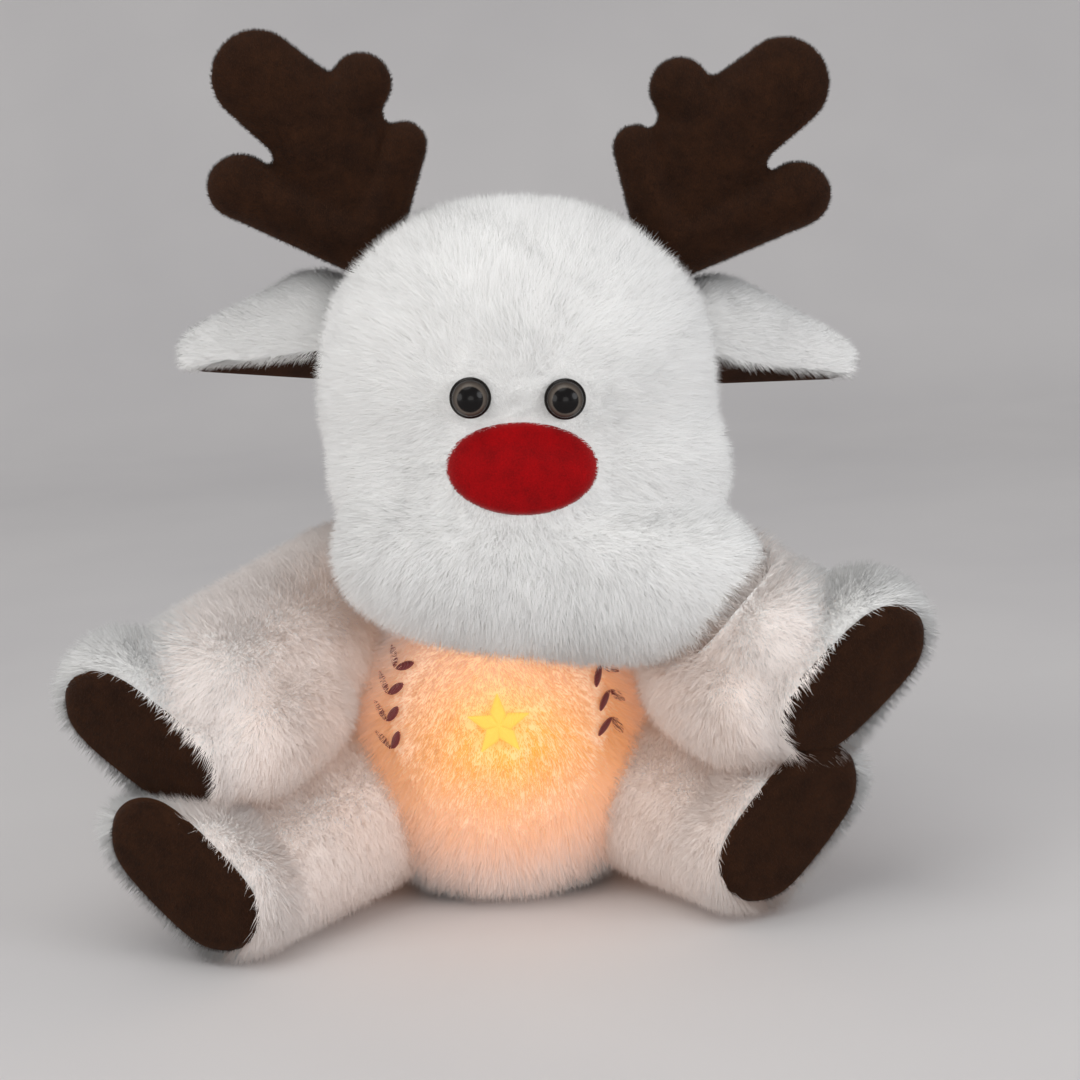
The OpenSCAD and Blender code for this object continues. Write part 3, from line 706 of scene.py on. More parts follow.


# Fur that the belly's light falls on, nearest first: that light is painted into the fibres as a warmer base
# colour and a faint warm emission
LIT_STOPS = [0, 52, 72, 95, 125]
LIT = [fibre(f"fibre_lit_{i + 1}", (0.93, 0.90 - 0.03 * k, 0.88 - 0.05 * k), (1.0, 0.50, 0.30), shine)
       for i, (k, shine) in enumerate(((2.0, 0.21), (1.4, 0.15), (0.9, 0.10), (0.4, 0.05)))]


def lit_tint(p, rng):
    far = np.linalg.norm((p - LAMP) * [1, 0.8, 1], axis=1) + rng.normal(0, 5.0, len(p))
    return tint_by(far, LIT_STOPS, rng)


def glow_backing():
    n = Nodes("belly_backing", Roughness=0.9, Sheen_Weight=0.2)
    at = n.coord()
    away = n.vector("DISTANCE", at, LAMP * MM)["Value"]
    wobble = n.math("MULTIPLY", n.noise(70, 3, at), 0.012)
    far = n.math("DIVIDE", n.math("ADD", away, wobble), 0.078, clamp=True)
    # The warm base colour near the lamp and the emission are the lamp's light painted onto the white
    # backing.
    n.colour(n.ramp(far, (0.08, (0.92, 0.62, 0.22)), (0.45, (0.90, 0.72, 0.52)), (0.95, (0.84, 0.82, 0.79))))
    n.put(n.shader.inputs["Emission Color"],
          n.ramp(far, (0.05, (1.0, 0.42, 0.06)), (0.6, (0.8, 0.34, 0.14)), (0.98, (0.0, 0.0, 0.0))))
    n.shader.inputs["Emission Strength"].default_value = 0.5
    n.bump(n.noise(900, 3, at), 0.5, 0.0006)
    return n.mat


BELLY = glow_backing()

# ---------- torso, belly and flap ----------

FLAP_X, FLAP_LO, FLAP_HI, FLAP_Y, BOX_IN = 27.0, 30.0, 100.0, 47.0, 24.0


def cut_box(mesh, low, high):
    """The mesh less a box, by an exact boolean."""
    obj = in_scene("cut", mesh)
    corners = [[(low, high)[(i >> k) & 1][k] for k in range(3)] for i in range(8)]
    faces = [(0, 2, 3, 1), (4, 5, 7, 6), (0, 1, 5, 4), (2, 6, 7, 3), (0, 4, 6, 2), (1, 3, 7, 5)]
    box = in_scene("box", make_mesh("box", corners, faces))
    cut = obj.modifiers.new("cut", "BOOLEAN")
    cut.operation, cut.object, cut.solver = "DIFFERENCE", box, "EXACT"
    out = baked(obj, mesh.name)
    bpy.data.objects.remove(box)
    return out


def hidden_by_others(p, *depths, deep=7.0):
    out = np.ones(len(p))
    for depth in depths:
        out *= np.clip(1 - depth(p) / deep, 0, 1) ** 0.7
    return out


def both(rods):
    return lambda p: np.maximum(depth_rods(p, rods(1), 1), depth_rods(p, rods(-1), -1))


def on_panel(p):
    return (p[:, 1] < -25) & (np.hypot(p[:, 0], p[:, 2] - PANEL_Z) < PANEL_D / 2 - 0.5)


def polar(degrees, r=1.0):
    return r * vec(math.cos(math.radians(degrees)), math.sin(math.radians(degrees)))


# Stitches: (start, end, half width at a part t of the way) in the belly's plane, from the star's middle
def star_arms():
    reach, wide = polar(36, STAR_R * 0.45)
    return [(np.zeros(2), polar(90 + 72 * i, STAR_R),
             lambda t: np.interp(STAR_R * t, [0, reach, STAR_R], [0.3, wide, 0.3])) for i in range(5)]


def leaf_width(t):
    return 1.45 * math.sqrt(max(math.sin(math.pi * t), 0.02))


def sprig_leaves():
    leaves = []
    for s in (-1, 1):
        for i in range(4):
            turn = 90 - s * (90 - (-10 + 14 * i))
            for lean in (-1, 1):
                mid = polar(turn, SPRIG_R) + polar(turn, 2.6 * lean)
                run = polar(turn + 90 + 35 * lean, 3.9)
                leaves.append((mid - run, mid + run, leaf_width))
    return leaves


def on_belly(flat, proud):
    """Points of the belly's plane laid on the torso, that far outside its surface."""
    x, z = flat[:, 0], flat[:, 1] + PANEL_Z
    r = np.interp(z, TORSO_ROWS[:, 1], TORSO_ROWS[:, 0])
    p = np.stack([x, -np.sqrt(np.maximum(r * r - x * x, 1)), z], 1)
    return p + unit(p * [1, 1, 0]) * proud[:, None]


def satin(arms, pitch=0.5, thick=0.34, base=0.9):
    """Rows of raised thread side by side across each arm of a motif."""
    verts, faces, steps, sides = [], [], 6, 6
    for start, end, wide in arms:
        run = end - start
        length = np.linalg.norm(run)
        cross = np.array([-run[1], run[0]]) / length
        for t in np.arange(pitch / 2, length, pitch) / length:
            s = np.linspace(-1, 1, steps + 1)
            slant = 0.22 * wide(t) * s / length
            flat = start + np.outer(t + slant, run) + np.outer(s * wide(t), cross)
            line = on_belly(flat, base + 0.5 * (1 - s ** 2))
            first = len(verts)
            d = unit(np.gradient(line, axis=0))
            up = unit(line * [1, 1, 0])
            side = np.cross(d, up)
            for k in range(steps + 1):
                end_r = thick * (0.55 if k in (0, steps) else 1.0)
                for j in range(sides):
                    a = 2 * math.pi * j / sides
                    verts.append(line[k] + end_r * (side[k] * math.cos(a) + up[k] * math.sin(a)))
            for k in range(steps):
                for j in range(sides):
                    a, b = first + k * sides + j, first + k * sides + (j + 1) % sides
                    faces.append((a, b, b + sides, a + sides))
            faces.append(tuple(first + j for j in reversed(range(sides))))
            faces.append(tuple(first + steps * sides + j for j in range(sides)))
    return np.array(verts), faces


STAR, SPRIGS = satin(star_arms()), satin(sprig_leaves())
STITCHED = KDTree(len(STAR[0]) + len(SPRIGS[0]))
for index, point in enumerate(np.concatenate([STAR[0], SPRIGS[0]])):
    STITCHED.insert(point, index)
STITCHED.balance()


def clear_of_stitches(p):
    """Pile is shaved under the stitches and short beside them."""
    near = np.full(len(p), 99.0)
    front = np.flatnonzero(p[:, 1] < -20)
    near[front] = [STITCHED.find(q)[2] for q in p[front]]
    return np.where(near < 1.5, 0, np.clip(near / 7, 0.4, 1))


torso = stuffed("torso", [lathe(torso_profile(SKIN_IN), np.zeros(3), [0, 0, 1.0], 64)], 2.6, 4)
set_coords(torso, kept_out(coords(torso), depth_head, 2.0))
torso = cut_box(torso, (-FLAP_X - 0.8, BOX_IN, FLAP_LO - 0.8), (FLAP_X + 0.8, 80.0, FLAP_HI + 0.8))
dress("torso_cloth", torso, "torso", BELLY,
      ["torso_skin", "torso_stuffing", "belly_panel"])


def down(p, up):
    return np.tile([0.0, 0.0, -1.0], (len(p), 1)) + 0.35 * unit(p * [1, 1, 0])


def torso_keep(p, up):
    grow = hidden_by_others(p, depth_head, both(arm_rods), both(leg_rods))
    middle, half = [0, (FLAP_LO + FLAP_HI) / 2], [FLAP_X + 1.2, (FLAP_HI - FLAP_LO) / 2 + 1.2]
    wall = (p[:, 1] > BOX_IN - 1) & (np.abs(p[:, [0, 2]] - middle) < half).all(1)
    grow[wall] = 0
    return np.where(on_panel(p), grow * 0.55 * clear_of_stitches(p), grow)


coat("torso_pile", torso, "torso", 3, 42000, 9.5, down, tints=GLOW + WHITE, tint_of=glow_tint,
     keep=torso_keep, seed=11)

# The yellow thread's emission is the lamp's light painted onto the star.
for motif, node, slot, light, dark, glow in (
        (STAR, "belly_star", "yellow_thread", (0.95, 0.66, 0.10), (0.80, 0.45, 0.05), 0.35),
        (SPRIGS, "belly_sprigs", "red_thread", (0.26, 0.012, 0.015), (0.11, 0.004, 0.006), 0.0)):
    dress(f"{node}_stitches", make_mesh(node, *motif), "torso", thread(slot, light, dark, glow), [node])

# ---------- head ----------

head = stuffed("head", [cushion(mid, half - SKIN_IN, r - SKIN_IN, blunt, sag)
                        for mid, half, r, blunt, sag in HEAD_SHAPES], 3.0, 16)
dress("head_cloth", head, "head", PLUSH, ["head_skin", "head_stuffing"])


def head_comb(p, up):
    q = to_head(p)
    away = q - vec(0.0, -60.0, 62.0)
    return head_dir(unit(away)) + vec(0, 0, -0.25)


def head_keep(p, up):
    q = to_head(p)
    grow = hidden_by_others(p, depth_torso, deep=10.0)
    front = q[:, 1] < -30
    oval = np.hypot((q[:, 0] - NOSE_AT[0]) / (NOSE_W / 2), (q[:, 2] - NOSE_AT[2]) / (NOSE_H / 2))
    grow = np.where(front & (oval < 0.93), 0, grow)
    grow = np.where(front & (oval < 1.5), grow * np.clip(0.45 + (oval - 0.93) * 1.1, 0, 1), grow)
    for s in (-1, 1):
        r = np.hypot(q[:, 0] - s * EYE_GAP / 2, q[:, 2] - EYE_Z)
        grow = np.where(front & (r < EYE_D / 2 + 0.4), 0, grow)
        grow = np.where(front & (r < 20), grow * np.clip(0.28 + (r - 8) / 16, 0, 1), grow)
        root = vec(s * 58.0, 2.0, 122.0)
        grow = np.where(np.linalg.norm((q - root) * [1, 1, 0.7], axis=1) < 12, 0, grow)
    seam = front & (np.abs(q[:, 0]) < 0.9) & (q[:, 2] > 74) & (q[:, 2] < 104)
    return np.where(seam, grow * 0.25, grow)


coat("head_pile", head, "head", 4, 58000, 8.5, head_comb, keep=head_keep, seed=21)

# ---------- arms and legs ----------


def limb(name, side, rods, mid, face, out, upper):
    sided = [(mirrored(v, side), [tuple(reversed(f)) for f in fs] if side < 0 else fs)
             for v, fs in (pill(*rod) for rod in rods)]
    mesh = stuffed(name, sided, 2.8, 8)
    p = coords(mesh)
    p = pressed(p, mid, face, out - 0.5, side, crown=2.0)
    if upper:
        p = kept_out(p, depth_head, 3.5)
        p[:, 2] += 0.92 * np.maximum(split_height(p, side) + 3.5 - p[:, 2], 0)
    else:
        p[:, 2] -= 0.92 * np.maximum(p[:, 2] - split_height(p, side) + 0.8, 0)
        p[:, 2] = np.maximum(p[:, 2], 1.2)
    set_coords(mesh, p)
    return mesh


def pad_frame(mid, half, face, side):
    """Middle of a limb's end, and the length, width and outward directions of its pad."""
    n = unit(face)
    run = end_at(mid, half, 1) - end_at(mid, half, -1)
    run = unit(run - (run @ n) * n)
    return [mirrored(v, side) for v in (mid, run, np.cross(n, run), n)]


def pad_mesh(name, mid, half, face, out, side):
    centre, run, wide, n = pad_frame(mid, half, face, side)
    rings, turns = 14, 72
    verts, faces = [centre + n * (out + 5.0)], disc_faces(rings, turns)
    for i in range(1, rings + 1):
        s = i / rings
        for k in range(turns):
            a = 2 * math.pi * k / turns
            x = s * ((PAD_LEN - PAD_W) / 2 * math.tanh(3.2 * math.cos(a)) + PAD_W / 2 * math.cos(a))
            y = s * PAD_W / 2 * math.sin(a)
            h = out + 5.0 - 1.7 * s ** 2 - 4.2 * max(0, (s - 0.82) / 0.18) ** 2.4
            verts.append(centre + run * x + wide * y + n * h)
    back = len(verts)
    verts.append(centre + n * (out - 1.2))
    last = 1 + (rings - 1) * turns
    faces.extend((back, last + (k + 1) % turns, last + k) for k in range(turns))
    mesh = make_mesh(name, verts, faces)
    if np.cross(run, wide) @ n < 0:
        mesh.flip_normals()
    return mesh


def limb_pile(name, mesh, body, side, rods, mid, face, out, half, others, seed):
    centre, run, wide, n = pad_frame(mid, half, face, side)
    axis = mirrored(unit(rods[0][1] - rods[0][0]), side)

    inner = unit(-axis + vec(0, 0, 0.9))

    def keep(p, up):
        grow = hidden_by_others(p, *others)
        q = p - centre
        x, y, h = q @ run, q @ wide, q @ n
        stad = np.hypot(np.maximum(np.abs(x) - (PAD_LEN - PAD_W) / 2, 0), y)
        ragged = 1.6 * np.sin(p @ vec(0.9, 0.5, 0.7)) * np.sin(p @ vec(-0.35, 0.6, 0.4))
        edge = PAD_W / 2 - 1.0 - np.where(unit(q) @ inner > 0.25, 3.0 + ragged, 0)
        return np.where((h > out - 6) & (stad < edge), 0, grow)

    coat(name, mesh, body, 5, 26000, 9.0, laid(axis * 0.8 + [0, 0, -0.5]), tints=LIT + WHITE,
         tint_of=lit_tint, keep=keep, wander=0.2, seed=seed)


for side, word in SIDES:
    for kind, rods, mid, face, out, half, pad_node in (
            ("arm", arm_rods(side, SKIN_IN), paw_mid(side), PAW_FACE, PAW_OUT, PAW_HALF, "paw_pad"),
            ("leg", leg_rods(side, SKIN_IN), foot_mid(side), FOOT_FACE, FOOT_OUT, FOOT_HALF, "foot_pad")):
        body = f"{word}_{kind}"
        mesh = limb(f"{body}_mesh", side, rods, mid, face, out, kind == "arm")
        dress(f"{body}_cloth", mesh, body, PLUSH, [f"{body}_skin", f"{body}_stuffing"])
        others = [depth_torso, depth_head] if kind == "arm" else [depth_torso]
        limb_pile(f"{body}_pile", mesh, body, side, rods, mid, face, out, half, others,
                  31 + 7 * (side + 1) + (kind == "leg"))
        disc = pad_mesh(f"{body}_pad", mid, half, face, out, side)
        pad = f"{word}_{pad_node}"
        dress(f"{pad}_velboa", disc, body, BROWN, [pad])
        outward = mirrored(unit(face), side)
        nap(f"{pad}_nap", disc, body, 9000, laid([0.1, 0.0, -1.0]), 91 + side,
            keep=lambda p, up, n=outward: np.where(up @ n > 0, 1.0, 0))

# ---------- antlers ----------

BASE, PALM = (2.0, 6.0, 12.0), (17.0, 49.0, 23.5)
LOBES = [(BASE, PALM), ((17.0, 49.0, 21.0), (44.0, 71.0, 17.0)), ((17.0, 49.0, 15.0), (3.0, 69.0, 11.0)),
         (BASE, (-14.0, 44.0, 8.0)), (BASE, (52.0, 26.0, 11.0))]


def seamed(mesh, across, at, depth=1.1, width=1.6):
    """Draws the cloth in along the seam, where it crosses a plane."""
    p, n = coords(mesh), normals(mesh)
    away = (p - at) @ across
    set_coords(mesh, p - n * (depth * np.exp(-((away / width) ** 2)))[:, None])


def antler(side):
    shapes = []
    for (x1, z1, r1), (x2, z2, r2) in LOBES:
        v, f = pill(vec(x1, 0.0, z1), vec(x2, 0.0, z2), r1 + 1.5, r2 + 2.4, 8)
        v[:, 1] *= (ANTLER_T / 2 - 1) / max(r1, r2, ANTLER_T / 2)
        v = in_head(mirrored(v, side) + ANTLER_ROOT * [side, 1, 1])
        shapes.append((v, [tuple(reversed(g)) for g in f] if side < 0 else f))
    mesh = stuffed("antler", shapes, 1.9, 4)
    swell(mesh, 2.5)
    seamed(mesh, head_dir([0, 1.0, 0]), in_head(ANTLER_ROOT))
    return mesh


for side, word in SIDES:
    mesh, body = antler(side), f"{word}_antler"
    dress(f"{body}_velboa", mesh, body, BROWN, [f"{body}_skin", f"{body}_stuffing"])
    nap(f"{body}_nap", mesh, body, 34000, laid([0.0, 0.0, 1.0]), 95 + side)

# ---------- ears ----------


def ear_frame(p, side):
    """Points of the flat leaf (along X, across Y, thick Z), in the row frame."""
    a, b = math.radians(60), math.radians(13)
    x, y, z = np.moveaxis(p, -1, 0)
    y, z = y * math.cos(a) - z * math.sin(a), y * math.sin(a) + z * math.cos(a)
    x, z = x * math.cos(b) + z * math.sin(b), -x * math.sin(b) + z * math.cos(b)
    return in_head(mirrored(np.stack([x, y, z], -1) + EAR_ROOT, side))


def ear_dir(v, side):
    ends = ear_frame(np.array([v, [0.0, 0, 0]]), side)
    return ends[0] - ends[1]


def ear_half(side, lining):
    """The part of a flattened leaf above or below its tilted seam."""
    inset = 0.4 if lining else 0.8
    v, f = pill(np.zeros(3), vec(EAR_LEN, 0.0, 0.0), EAR_R - inset, EAR_TIP_R - inset, 12)
    v[:, 2] *= EAR_FLAT
    mesh = make_mesh("ear", v, f)
    bm = bmesh.new()
    bm.from_mesh(mesh)
    bmesh.ops.subdivide_edges(bm, edges=bm.edges[:], cuts=1, use_grid_fill=True)
    up = Vector((0, math.sin(EAR_TILT), math.cos(EAR_TILT)))
    cut = bmesh.ops.bisect_plane(bm, geom=bm.verts[:] + bm.edges[:] + bm.faces[:],
                                 plane_co=up * (EAR_SEAM - (0.2 if lining else 0)) * MM, plane_no=up,
                                 clear_outer=lining, clear_inner=not lining)
    edges = [e for e in cut["geom_cut"] if isinstance(e, bmesh.types.BMEdge)]
    bmesh.ops.holes_fill(bm, edges=edges)
    bm.to_mesh(mesh)
    bm.free()
    set_coords(mesh, ear_frame(coords(mesh), side))
    if side < 0:
        mesh.flip_normals()
    return mesh


for side, word in SIDES:
    top = ear_dir([0.0, 0, 1.0], side)
    mesh, body = ear_half(side, False), f"{word}_ear"
    dress(f"{body}_cloth", mesh, body, PLUSH, [f"{body}_outer"])
    coat(f"{body}_pile", mesh, body, 2, 17000, 6.5,
         laid(ear_dir([1.0, 0, 0], side)), seed=61 + side, lean=55,
         keep=lambda p, up, t=top: np.where(up @ t < -0.45, 0, hidden_by_others(p, depth_head)))
    dress(f"{body}_velboa", ear_half(side, True), body, LINING, [f"{body}_lining"])

# ---------- nose ----------


def on_cloth(mesh, p, direction):
    """Where rays from p along direction meet the mesh, and the outward directions there."""
    bm = bmesh.new()
    bm.from_mesh(mesh)
    tree = BVHTree.FromBMesh(bm)
    bm.free()
    spots, ups = [], []
    for q in p:
        hit, n, _, _ = tree.ray_cast(Vector(q * MM), Vector(direction))
        spots.append(np.array(hit) / MM if hit else q)
        ups.append(np.array(n) if hit else -np.array(direction))
    return np.array(spots), np.array(ups)


def nose_mesh():
    rings, turns = 16, 80
    flat = [(0.0, 0.0, 0.0)]
    for i in range(1, rings + 1):
        s = i / rings
        for k in range(turns):
            a = 2 * math.pi * k / turns
            flat.append((s * NOSE_W / 2 * math.cos(a), s * NOSE_H / 2 * math.sin(a), s))
    flat = np.array(flat)
    start = in_head(np.stack([flat[:, 0], np.full(len(flat), -60.0), flat[:, 1]], 1) + NOSE_AT)
    spots, _ = on_cloth(head, start, (0, 1, 0))
    s = flat[:, 2]
    crown = 3.6 - 1.0 * s ** 2 - 2.4 * np.clip((s - 0.86) / 0.14, 0, 1) ** 2
    front = spots - np.outer(crown, [0, 1, 0])
    verts, faces = list(front), disc_faces(rings, turns)
    last = 1 + (rings - 1) * turns
    behind = len(verts)
    for k in range(turns):
        verts.append(front[last + k] + [0, 3.0, 0])
    verts.append(front[0] + [0, 5.0, 0])
    for k in range(turns):
        m = (k + 1) % turns
        faces.append((last + k, behind + k, behind + m, last + m))
        faces.append((behind + k, behind + turns, behind + m))
    return make_mesh("nose", verts, faces)


def felt(name, light, dark):
    n = Nodes(name, Roughness=0.95, Sheen_Weight=0.25, Sheen_Roughness=0.4, Specular_IOR_Level=0.1)
    fuzz = n.noise(1500, 5, rough=0.7)
    cloud = n.noise(160, 3)
    n.colour(n.ramp(n.blend(fuzz, cloud, 0.6), (0.3, dark), (0.7, light)))
    n.rough(cloud, 0.88, 0.98)
    n.bump(fuzz, 0.5, 0.0004)
    return n.mat


FELT = felt("red_felt", srgb(164, 2, 8), srgb(112, 0, 4))
dress("nose_felt", nose_mesh(), "head", FELT, ["nose"])

# ---------- eyes ----------


def eye_spot(side):
    return vec(side * EYE_GAP / 2, -HEAD_R + 1.2, EYE_Z)


def eye_material(side, word):
    """A dark pupil in a brown-grey ring under a clear glossy dome, painted by distance from its axis."""
    n = Nodes(f"eye_{word}", Roughness=0.25, Specular_IOR_Level=0.12, Coat_Weight=0.16, Coat_Roughness=0.04)
    away = n.vector("SUBTRACT", n.coord(), in_head(eye_spot(side)) * MM)["Vector"]
    cross = n.vector("CROSS_PRODUCT", away, unit(head_dir([0, -1.0, 0])))["Vector"]
    r = n.math("DIVIDE", n.vector("LENGTH", cross)["Value"], EYE_D / 2 * MM)
    streak = n.math("MULTIPLY", n.noise(2500, 3), 0.05)
    n.colour(n.ramp(n.math("ADD", r, streak), (0.0, (0.004, 0.003, 0.003)), (0.64, (0.004, 0.003, 0.003)),
                    (0.70, srgb(96, 88, 80)), (0.84, srgb(60, 52, 46)), (0.93, (0.008, 0.006, 0.005))))
    return n.mat


def eye_mesh(side):
    r = EYE_D / 2
    rows = [(0.0, -0.4), (r - 0.6, -0.4), (r, 0.0), (r + 0.25, 0.6), (r, 1.15), (r - 0.5, 1.3)]
    for i in range(1, 15):
        t = i / 15 * math.pi / 2
        rows.append(((r - 0.6) * math.cos(t), 1.25 + 5.4 * math.sin(t)))
    rows.append((0.0, 6.65))
    v, f = lathe(rows, np.zeros(3), [0, -1.0, 0], 56)
    return make_mesh("eye", in_head(v + eye_spot(side)), f)


for side, word in SIDES:
    dress(f"{word}_eye_dome", eye_mesh(side), "head", eye_material(side, word),
          [f"{word}_eye"])

# ---------- back flap ----------


def flap_mesh():
    table = np.array(torso_profile(SKIN_IN))
    nx, nz = 28, 34
    verts, faces = [], []
    for layer in (0, 1):
        for j in range(nz + 1):
            for i in range(nx + 1):
                x = -FLAP_X + 0.3 + (2 * FLAP_X - 0.6) * i / nx
                z = FLAP_LO + 0.3 + (FLAP_HI - FLAP_LO - 0.6) * j / nz
                r = np.interp(z, table[:, 1], table[:, 0])
                y = math.sqrt(max(r * r - x * x, 1.0))
                edge = min(1.0, min(i, nx - i, j, nz - j) / 2.0)
                y = y - 1.0 * (1 - edge) ** 2 if layer else max(FLAP_Y + 0.4, min(y - 3.5, FLAP_Y + 0.6))
                verts.append((x, max(y, FLAP_Y + 0.9) if layer else y, z))
    n = (nx + 1) * (nz + 1)
    for j in range(nz):
        for i in range(nx):
            a = j * (nx + 1) + i
            faces.append((a, a + 1, a + nx + 2, a + nx + 1))
            faces.append((n + a, n + a + nx + 1, n + a + nx + 2, n + a + 1))
    rim = [*range(nx)] + [(j + 1) * (nx + 1) - 1 for j in range(nz)]
    rim += [n - 1 - i for i in range(nx)] + [(nz - j) * (nx + 1) for j in range(nz)]
    for a, b in zip(rim, rim[1:] + rim[:1]):
        faces.append((a, n + a, n + b, b))
    return make_mesh("flap", verts, faces)


flap = flap_mesh()
dress("back_flap_cloth", flap, "flap", PLUSH, ["back_flap"])
coat("back_flap_pile", flap, "flap", 2, 15000, 9.0, down, seed=71,
     keep=lambda p, up: np.where(up[:, 1] < 0.2, 0, 1.0))

# ---------- neck, lamp and battery box ----------

NECK_R = 27
neck_rows = [(NECK_R * math.sin(t), -NECK_R * math.cos(t)) for t in (math.pi * i / 20 for i in range(21))]
neck = stuffed("neck", [lathe(neck_rows, NECK, [0, 0, 1.0])], 3.0, 2)
dress("neck_cloth", neck, "neck", PLUSH, ["neck_core"])

ABS = plastic("box_plastic", (0.80, 0.80, 0.77), 0.45)
BLACK = plastic("black_plastic", (0.02, 0.02, 0.022), 0.35)
STEEL = metal("steel", (0.62, 0.62, 0.64), 0.3)
POUCH = cloth_back("pouch_weave", (0.62, 0.62, 0.62), (0.45, 0.45, 0.46))
TAPE = cloth_back("tape_weave", (0.80, 0.80, 0.80), (0.55, 0.55, 0.56))
for node, material in (
        ("lamp_housing", ABS),
        ("lamp_diffuser", plastic("frosted_plastic", (0.9, 0.85, 0.72), 0.6)),
        ("lamp_board", plastic("board", (0.02, 0.16, 0.05), 0.4)),
        ("lamp_leds", plastic("led_body", (0.95, 0.85, 0.45), 0.3)),
        ("lamp_screws", STEEL), ("lamp_lead", plastic("wire_sleeve", (0.03, 0.03, 0.032), 0.5)),
        ("battery_case", ABS), ("battery_lid", ABS), ("battery_lid_screw", STEEL),
        ("battery_cells", plastic("cell_jacket", (0.10, 0.22, 0.10), 0.25, coat=0.5)),
        ("battery_contacts", STEEL), ("switch_body", BLACK), ("switch_knob", BLACK),
        ("eye_stems", BLACK), ("eye_washers", ABS)):
    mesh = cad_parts[node].data
    mesh.materials.clear()
    mesh.materials.append(material)

# ---------- the pouch and its closing tapes ----------

BOX_W, BOX_H, BOX_T, BOX_Z, BOX_BACK = 40.0, 60.0, 17.0, 66.0, 43.0


def pouch_mesh():
    """A cloth bag round the battery box, with a facing that fills the opening round its mouth."""
    bm = bmesh.new()

    def patch(corner, u, v, hole=None):
        nu, nv = max(int(np.linalg.norm(u) / 1.5), 1), max(int(np.linalg.norm(v) / 1.5), 1)
        grid = [[bm.verts.new(corner + u * i / nu + v * j / nv) for i in range(nu + 1)]
                for j in range(nv + 1)]
        for j in range(nv):
            for i in range(nu):
                mid = corner + u * (i + 0.5) / nu + v * (j + 0.5) / nv
                if hole is None or abs(mid[0]) > hole[0] or abs(mid[2] - BOX_Z) > hole[1]:
                    bm.faces.new([grid[j][i], grid[j][i + 1], grid[j + 1][i + 1], grid[j + 1][i]])

    w, h, y = BOX_W / 2 + 1.0, BOX_H / 2 + 1.0, BOX_BACK - 0.6
    deep = BOX_T + 1.0
    patch(vec(-FLAP_X + 0.6, y, FLAP_LO + 0.6), vec(2 * FLAP_X - 1.2, 0, 0),
          vec(0, 0, FLAP_HI - FLAP_LO - 1.2), (w, h))
    patch(vec(-w, y - deep, BOX_Z - h), vec(2 * w, 0, 0), vec(0, 0, 2 * h))
    for s in (-1, 1):
        patch(vec(s * w, y - deep, BOX_Z - h), vec(0, deep, 0), vec(0, 0, 2 * h))
        patch(vec(-w, y - deep, BOX_Z + s * h), vec(2 * w, 0, 0), vec(0, deep, 0))
    bmesh.ops.remove_doubles(bm, verts=bm.verts, dist=0.9)
    loose = [v for v in bm.verts if not v.link_faces]
    bmesh.ops.delete(bm, geom=loose, context="VERTS")
    bmesh.ops.recalc_face_normals(bm, faces=bm.faces)
    mesh = from_bm(bm, "pouch")
    p = np.array([v.co for v in mesh.vertices])
    set_coords(mesh, p + 0.22 * swirl(p, 5, 17.0))
    obj = in_scene("pouch", mesh)
    thick = obj.modifiers.new("thick", "SOLIDIFY")
    thick.thickness, thick.offset = 0.8 * MM, 0.0
    return baked(obj, "pouch")


def tape_mesh(low, high):
    """A woven strip with its edges rounded over."""
    bm = bmesh.new()
    bmesh.ops.create_cube(bm, size=1.0)
    bmesh.ops.subdivide_edges(bm, edges=bm.edges[:], cuts=7, use_grid_fill=True)
    mesh = from_bm(bm, "tape")
    p = np.array([v.co for v in mesh.vertices])
    low, high = np.array(low), np.array(high)
    half = (high - low) / 2
    flat, reach = half - 0.4, np.abs(p) * 2 * half
    edge = np.maximum(reach - flat, 0)
    q = np.sign(p) * (np.minimum(reach, flat) + unit(edge) * np.minimum(edge.max(1), 0.4)[:, None])
    set_coords(mesh, q + (low + high) / 2)
    return mesh


dress("battery_pouch_cloth", pouch_mesh(), "torso", POUCH, ["battery_pouch"])
TUFT = [fibre("tape_loop", (0.82, 0.82, 0.82)), fibre("tape_hook", (0.66, 0.66, 0.67))]
for node, body, low, high, face in (
        ("loop_tape", "torso", 43.05, 43.9, 1.0), ("hook_tape", "flap", 45.9, 46.95, -1.0)):
    strip = tape_mesh([-18, low, FLAP_LO + 1], [18, high, FLAP_LO + 5.4])
    dress(f"{node}_cloth", strip, body, TAPE, [node])
    tuft = pile(f"{node}_tufts", strip, body, 9000, 0.8, laid([0.2, 0.0, -1.0]), 81,
                [TUFT[node == "hook_tape"]], lean=20, width=0.12, clump=0.5,
                keep=lambda p, up, f=face: np.where(up[:, 1] * f > 0.8, 1.0, 0))

# ---------- stage, light and camera ----------


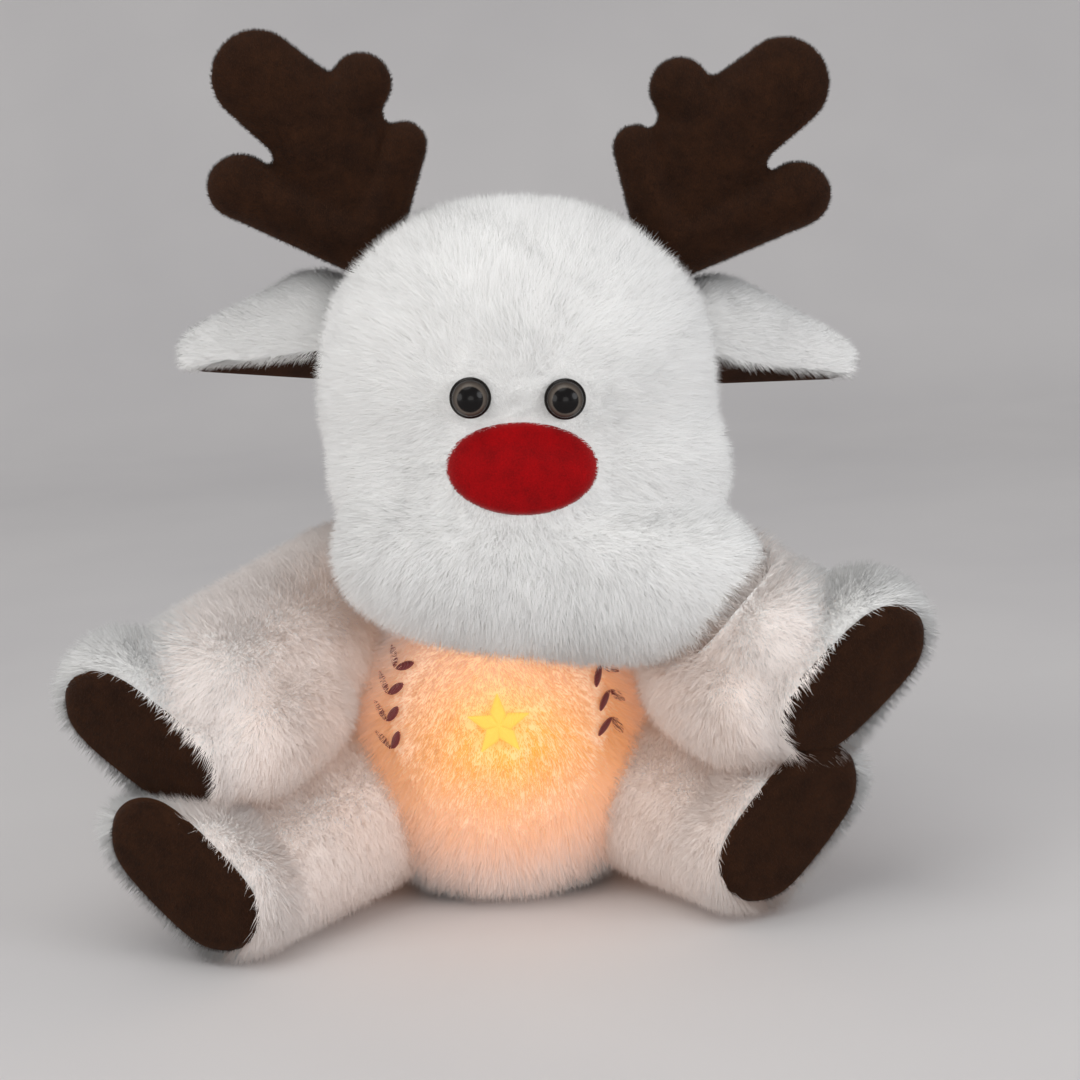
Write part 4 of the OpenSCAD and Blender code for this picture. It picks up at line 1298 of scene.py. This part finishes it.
def stage():
    """A floor, in metres, that curves up behind the toy."""
    mesh, steps = bpy.data.meshes.new("floor"), 24
    runs = [-2.5 + 5.0 * i / steps for i in range(steps + 1)]
    verts = [(x, y, 1.2 * max(0.0, y - 1.2) ** 2) for y in runs for x in (-4.0, 4.0)]
    faces = [(2 * i, 2 * i + 1, 2 * i + 3, 2 * i + 2) for i in range(steps)]
    mesh.from_pydata(verts, [], faces)
    mesh.shade_smooth()
    n = Nodes("pale_floor", Roughness=0.8, Specular_IOR_Level=0.2)
    n.colour(n.ramp(n.noise(3, 3), (0.3, srgb(206, 203, 203)), (0.7, srgb(214, 211, 210))))
    mesh.materials.append(n.mat)
    floor = in_scene("floor", mesh)


def soft_light(name, at, to, size, power, colour=(1, 1, 1)):
    data = bpy.data.lights.new(name, "AREA")
    data.shape, data.size, data.energy, data.color = "DISK", size, power, colour
    obj = in_scene(name, data)
    obj.location = at
    obj.rotation_euler = (Vector(to) - Vector(at)).to_track_quat("-Z", "Y").to_euler()


stage()
soft_light("sky_light", (-0.3, -0.5, 1.6), (0, 0, 0.12), 1.3, 8.5, (1.0, 0.99, 0.97))
soft_light("window_light", (1.3, -1.0, 0.55), (0, 0, 0.08), 0.9, 9.0, (0.97, 0.98, 1.0))
soft_light("room_light", (-1.4, -0.9, 0.4), (0, 0, 0.06), 1.0, 7.5, (1.0, 0.99, 0.98))
soft_light("front_light", (0.1, -1.7, 0.16), (0, 0, 0.04), 0.8, 3.5, (1.0, 0.985, 0.96))
world = bpy.data.worlds.new("studio")
world.use_nodes = True
world.node_tree.nodes["Background"].inputs["Color"].default_value = (0.92, 0.93, 0.95, 1)
world.node_tree.nodes["Background"].inputs["Strength"].default_value = 0.5
bpy.context.scene.world = world

camera = bpy.data.cameras.new("camera")
camera.sensor_width, camera.lens = 36.0, 80.0
cam = in_scene("camera", camera)
target, lift, distance, roll = Vector((0.020, 0.0, 0.137)), math.radians(10.8), 0.960, math.radians(3.6)
back = Vector((0, -math.cos(lift), math.sin(lift)))
cam_right, cam_up = Vector((1, 0, 0)), Vector((0, math.sin(lift), math.cos(lift)))
x = cam_right * math.cos(roll) - cam_up * math.sin(roll)
y = cam_right * math.sin(roll) + cam_up * math.cos(roll)
m = Matrix((x, y, back)).transposed().to_4x4()
m.translation = target + back * distance
cam.matrix_world = m
bpy.context.scene.camera = cam
bpy.context.scene.view_settings.view_transform = "Standard"
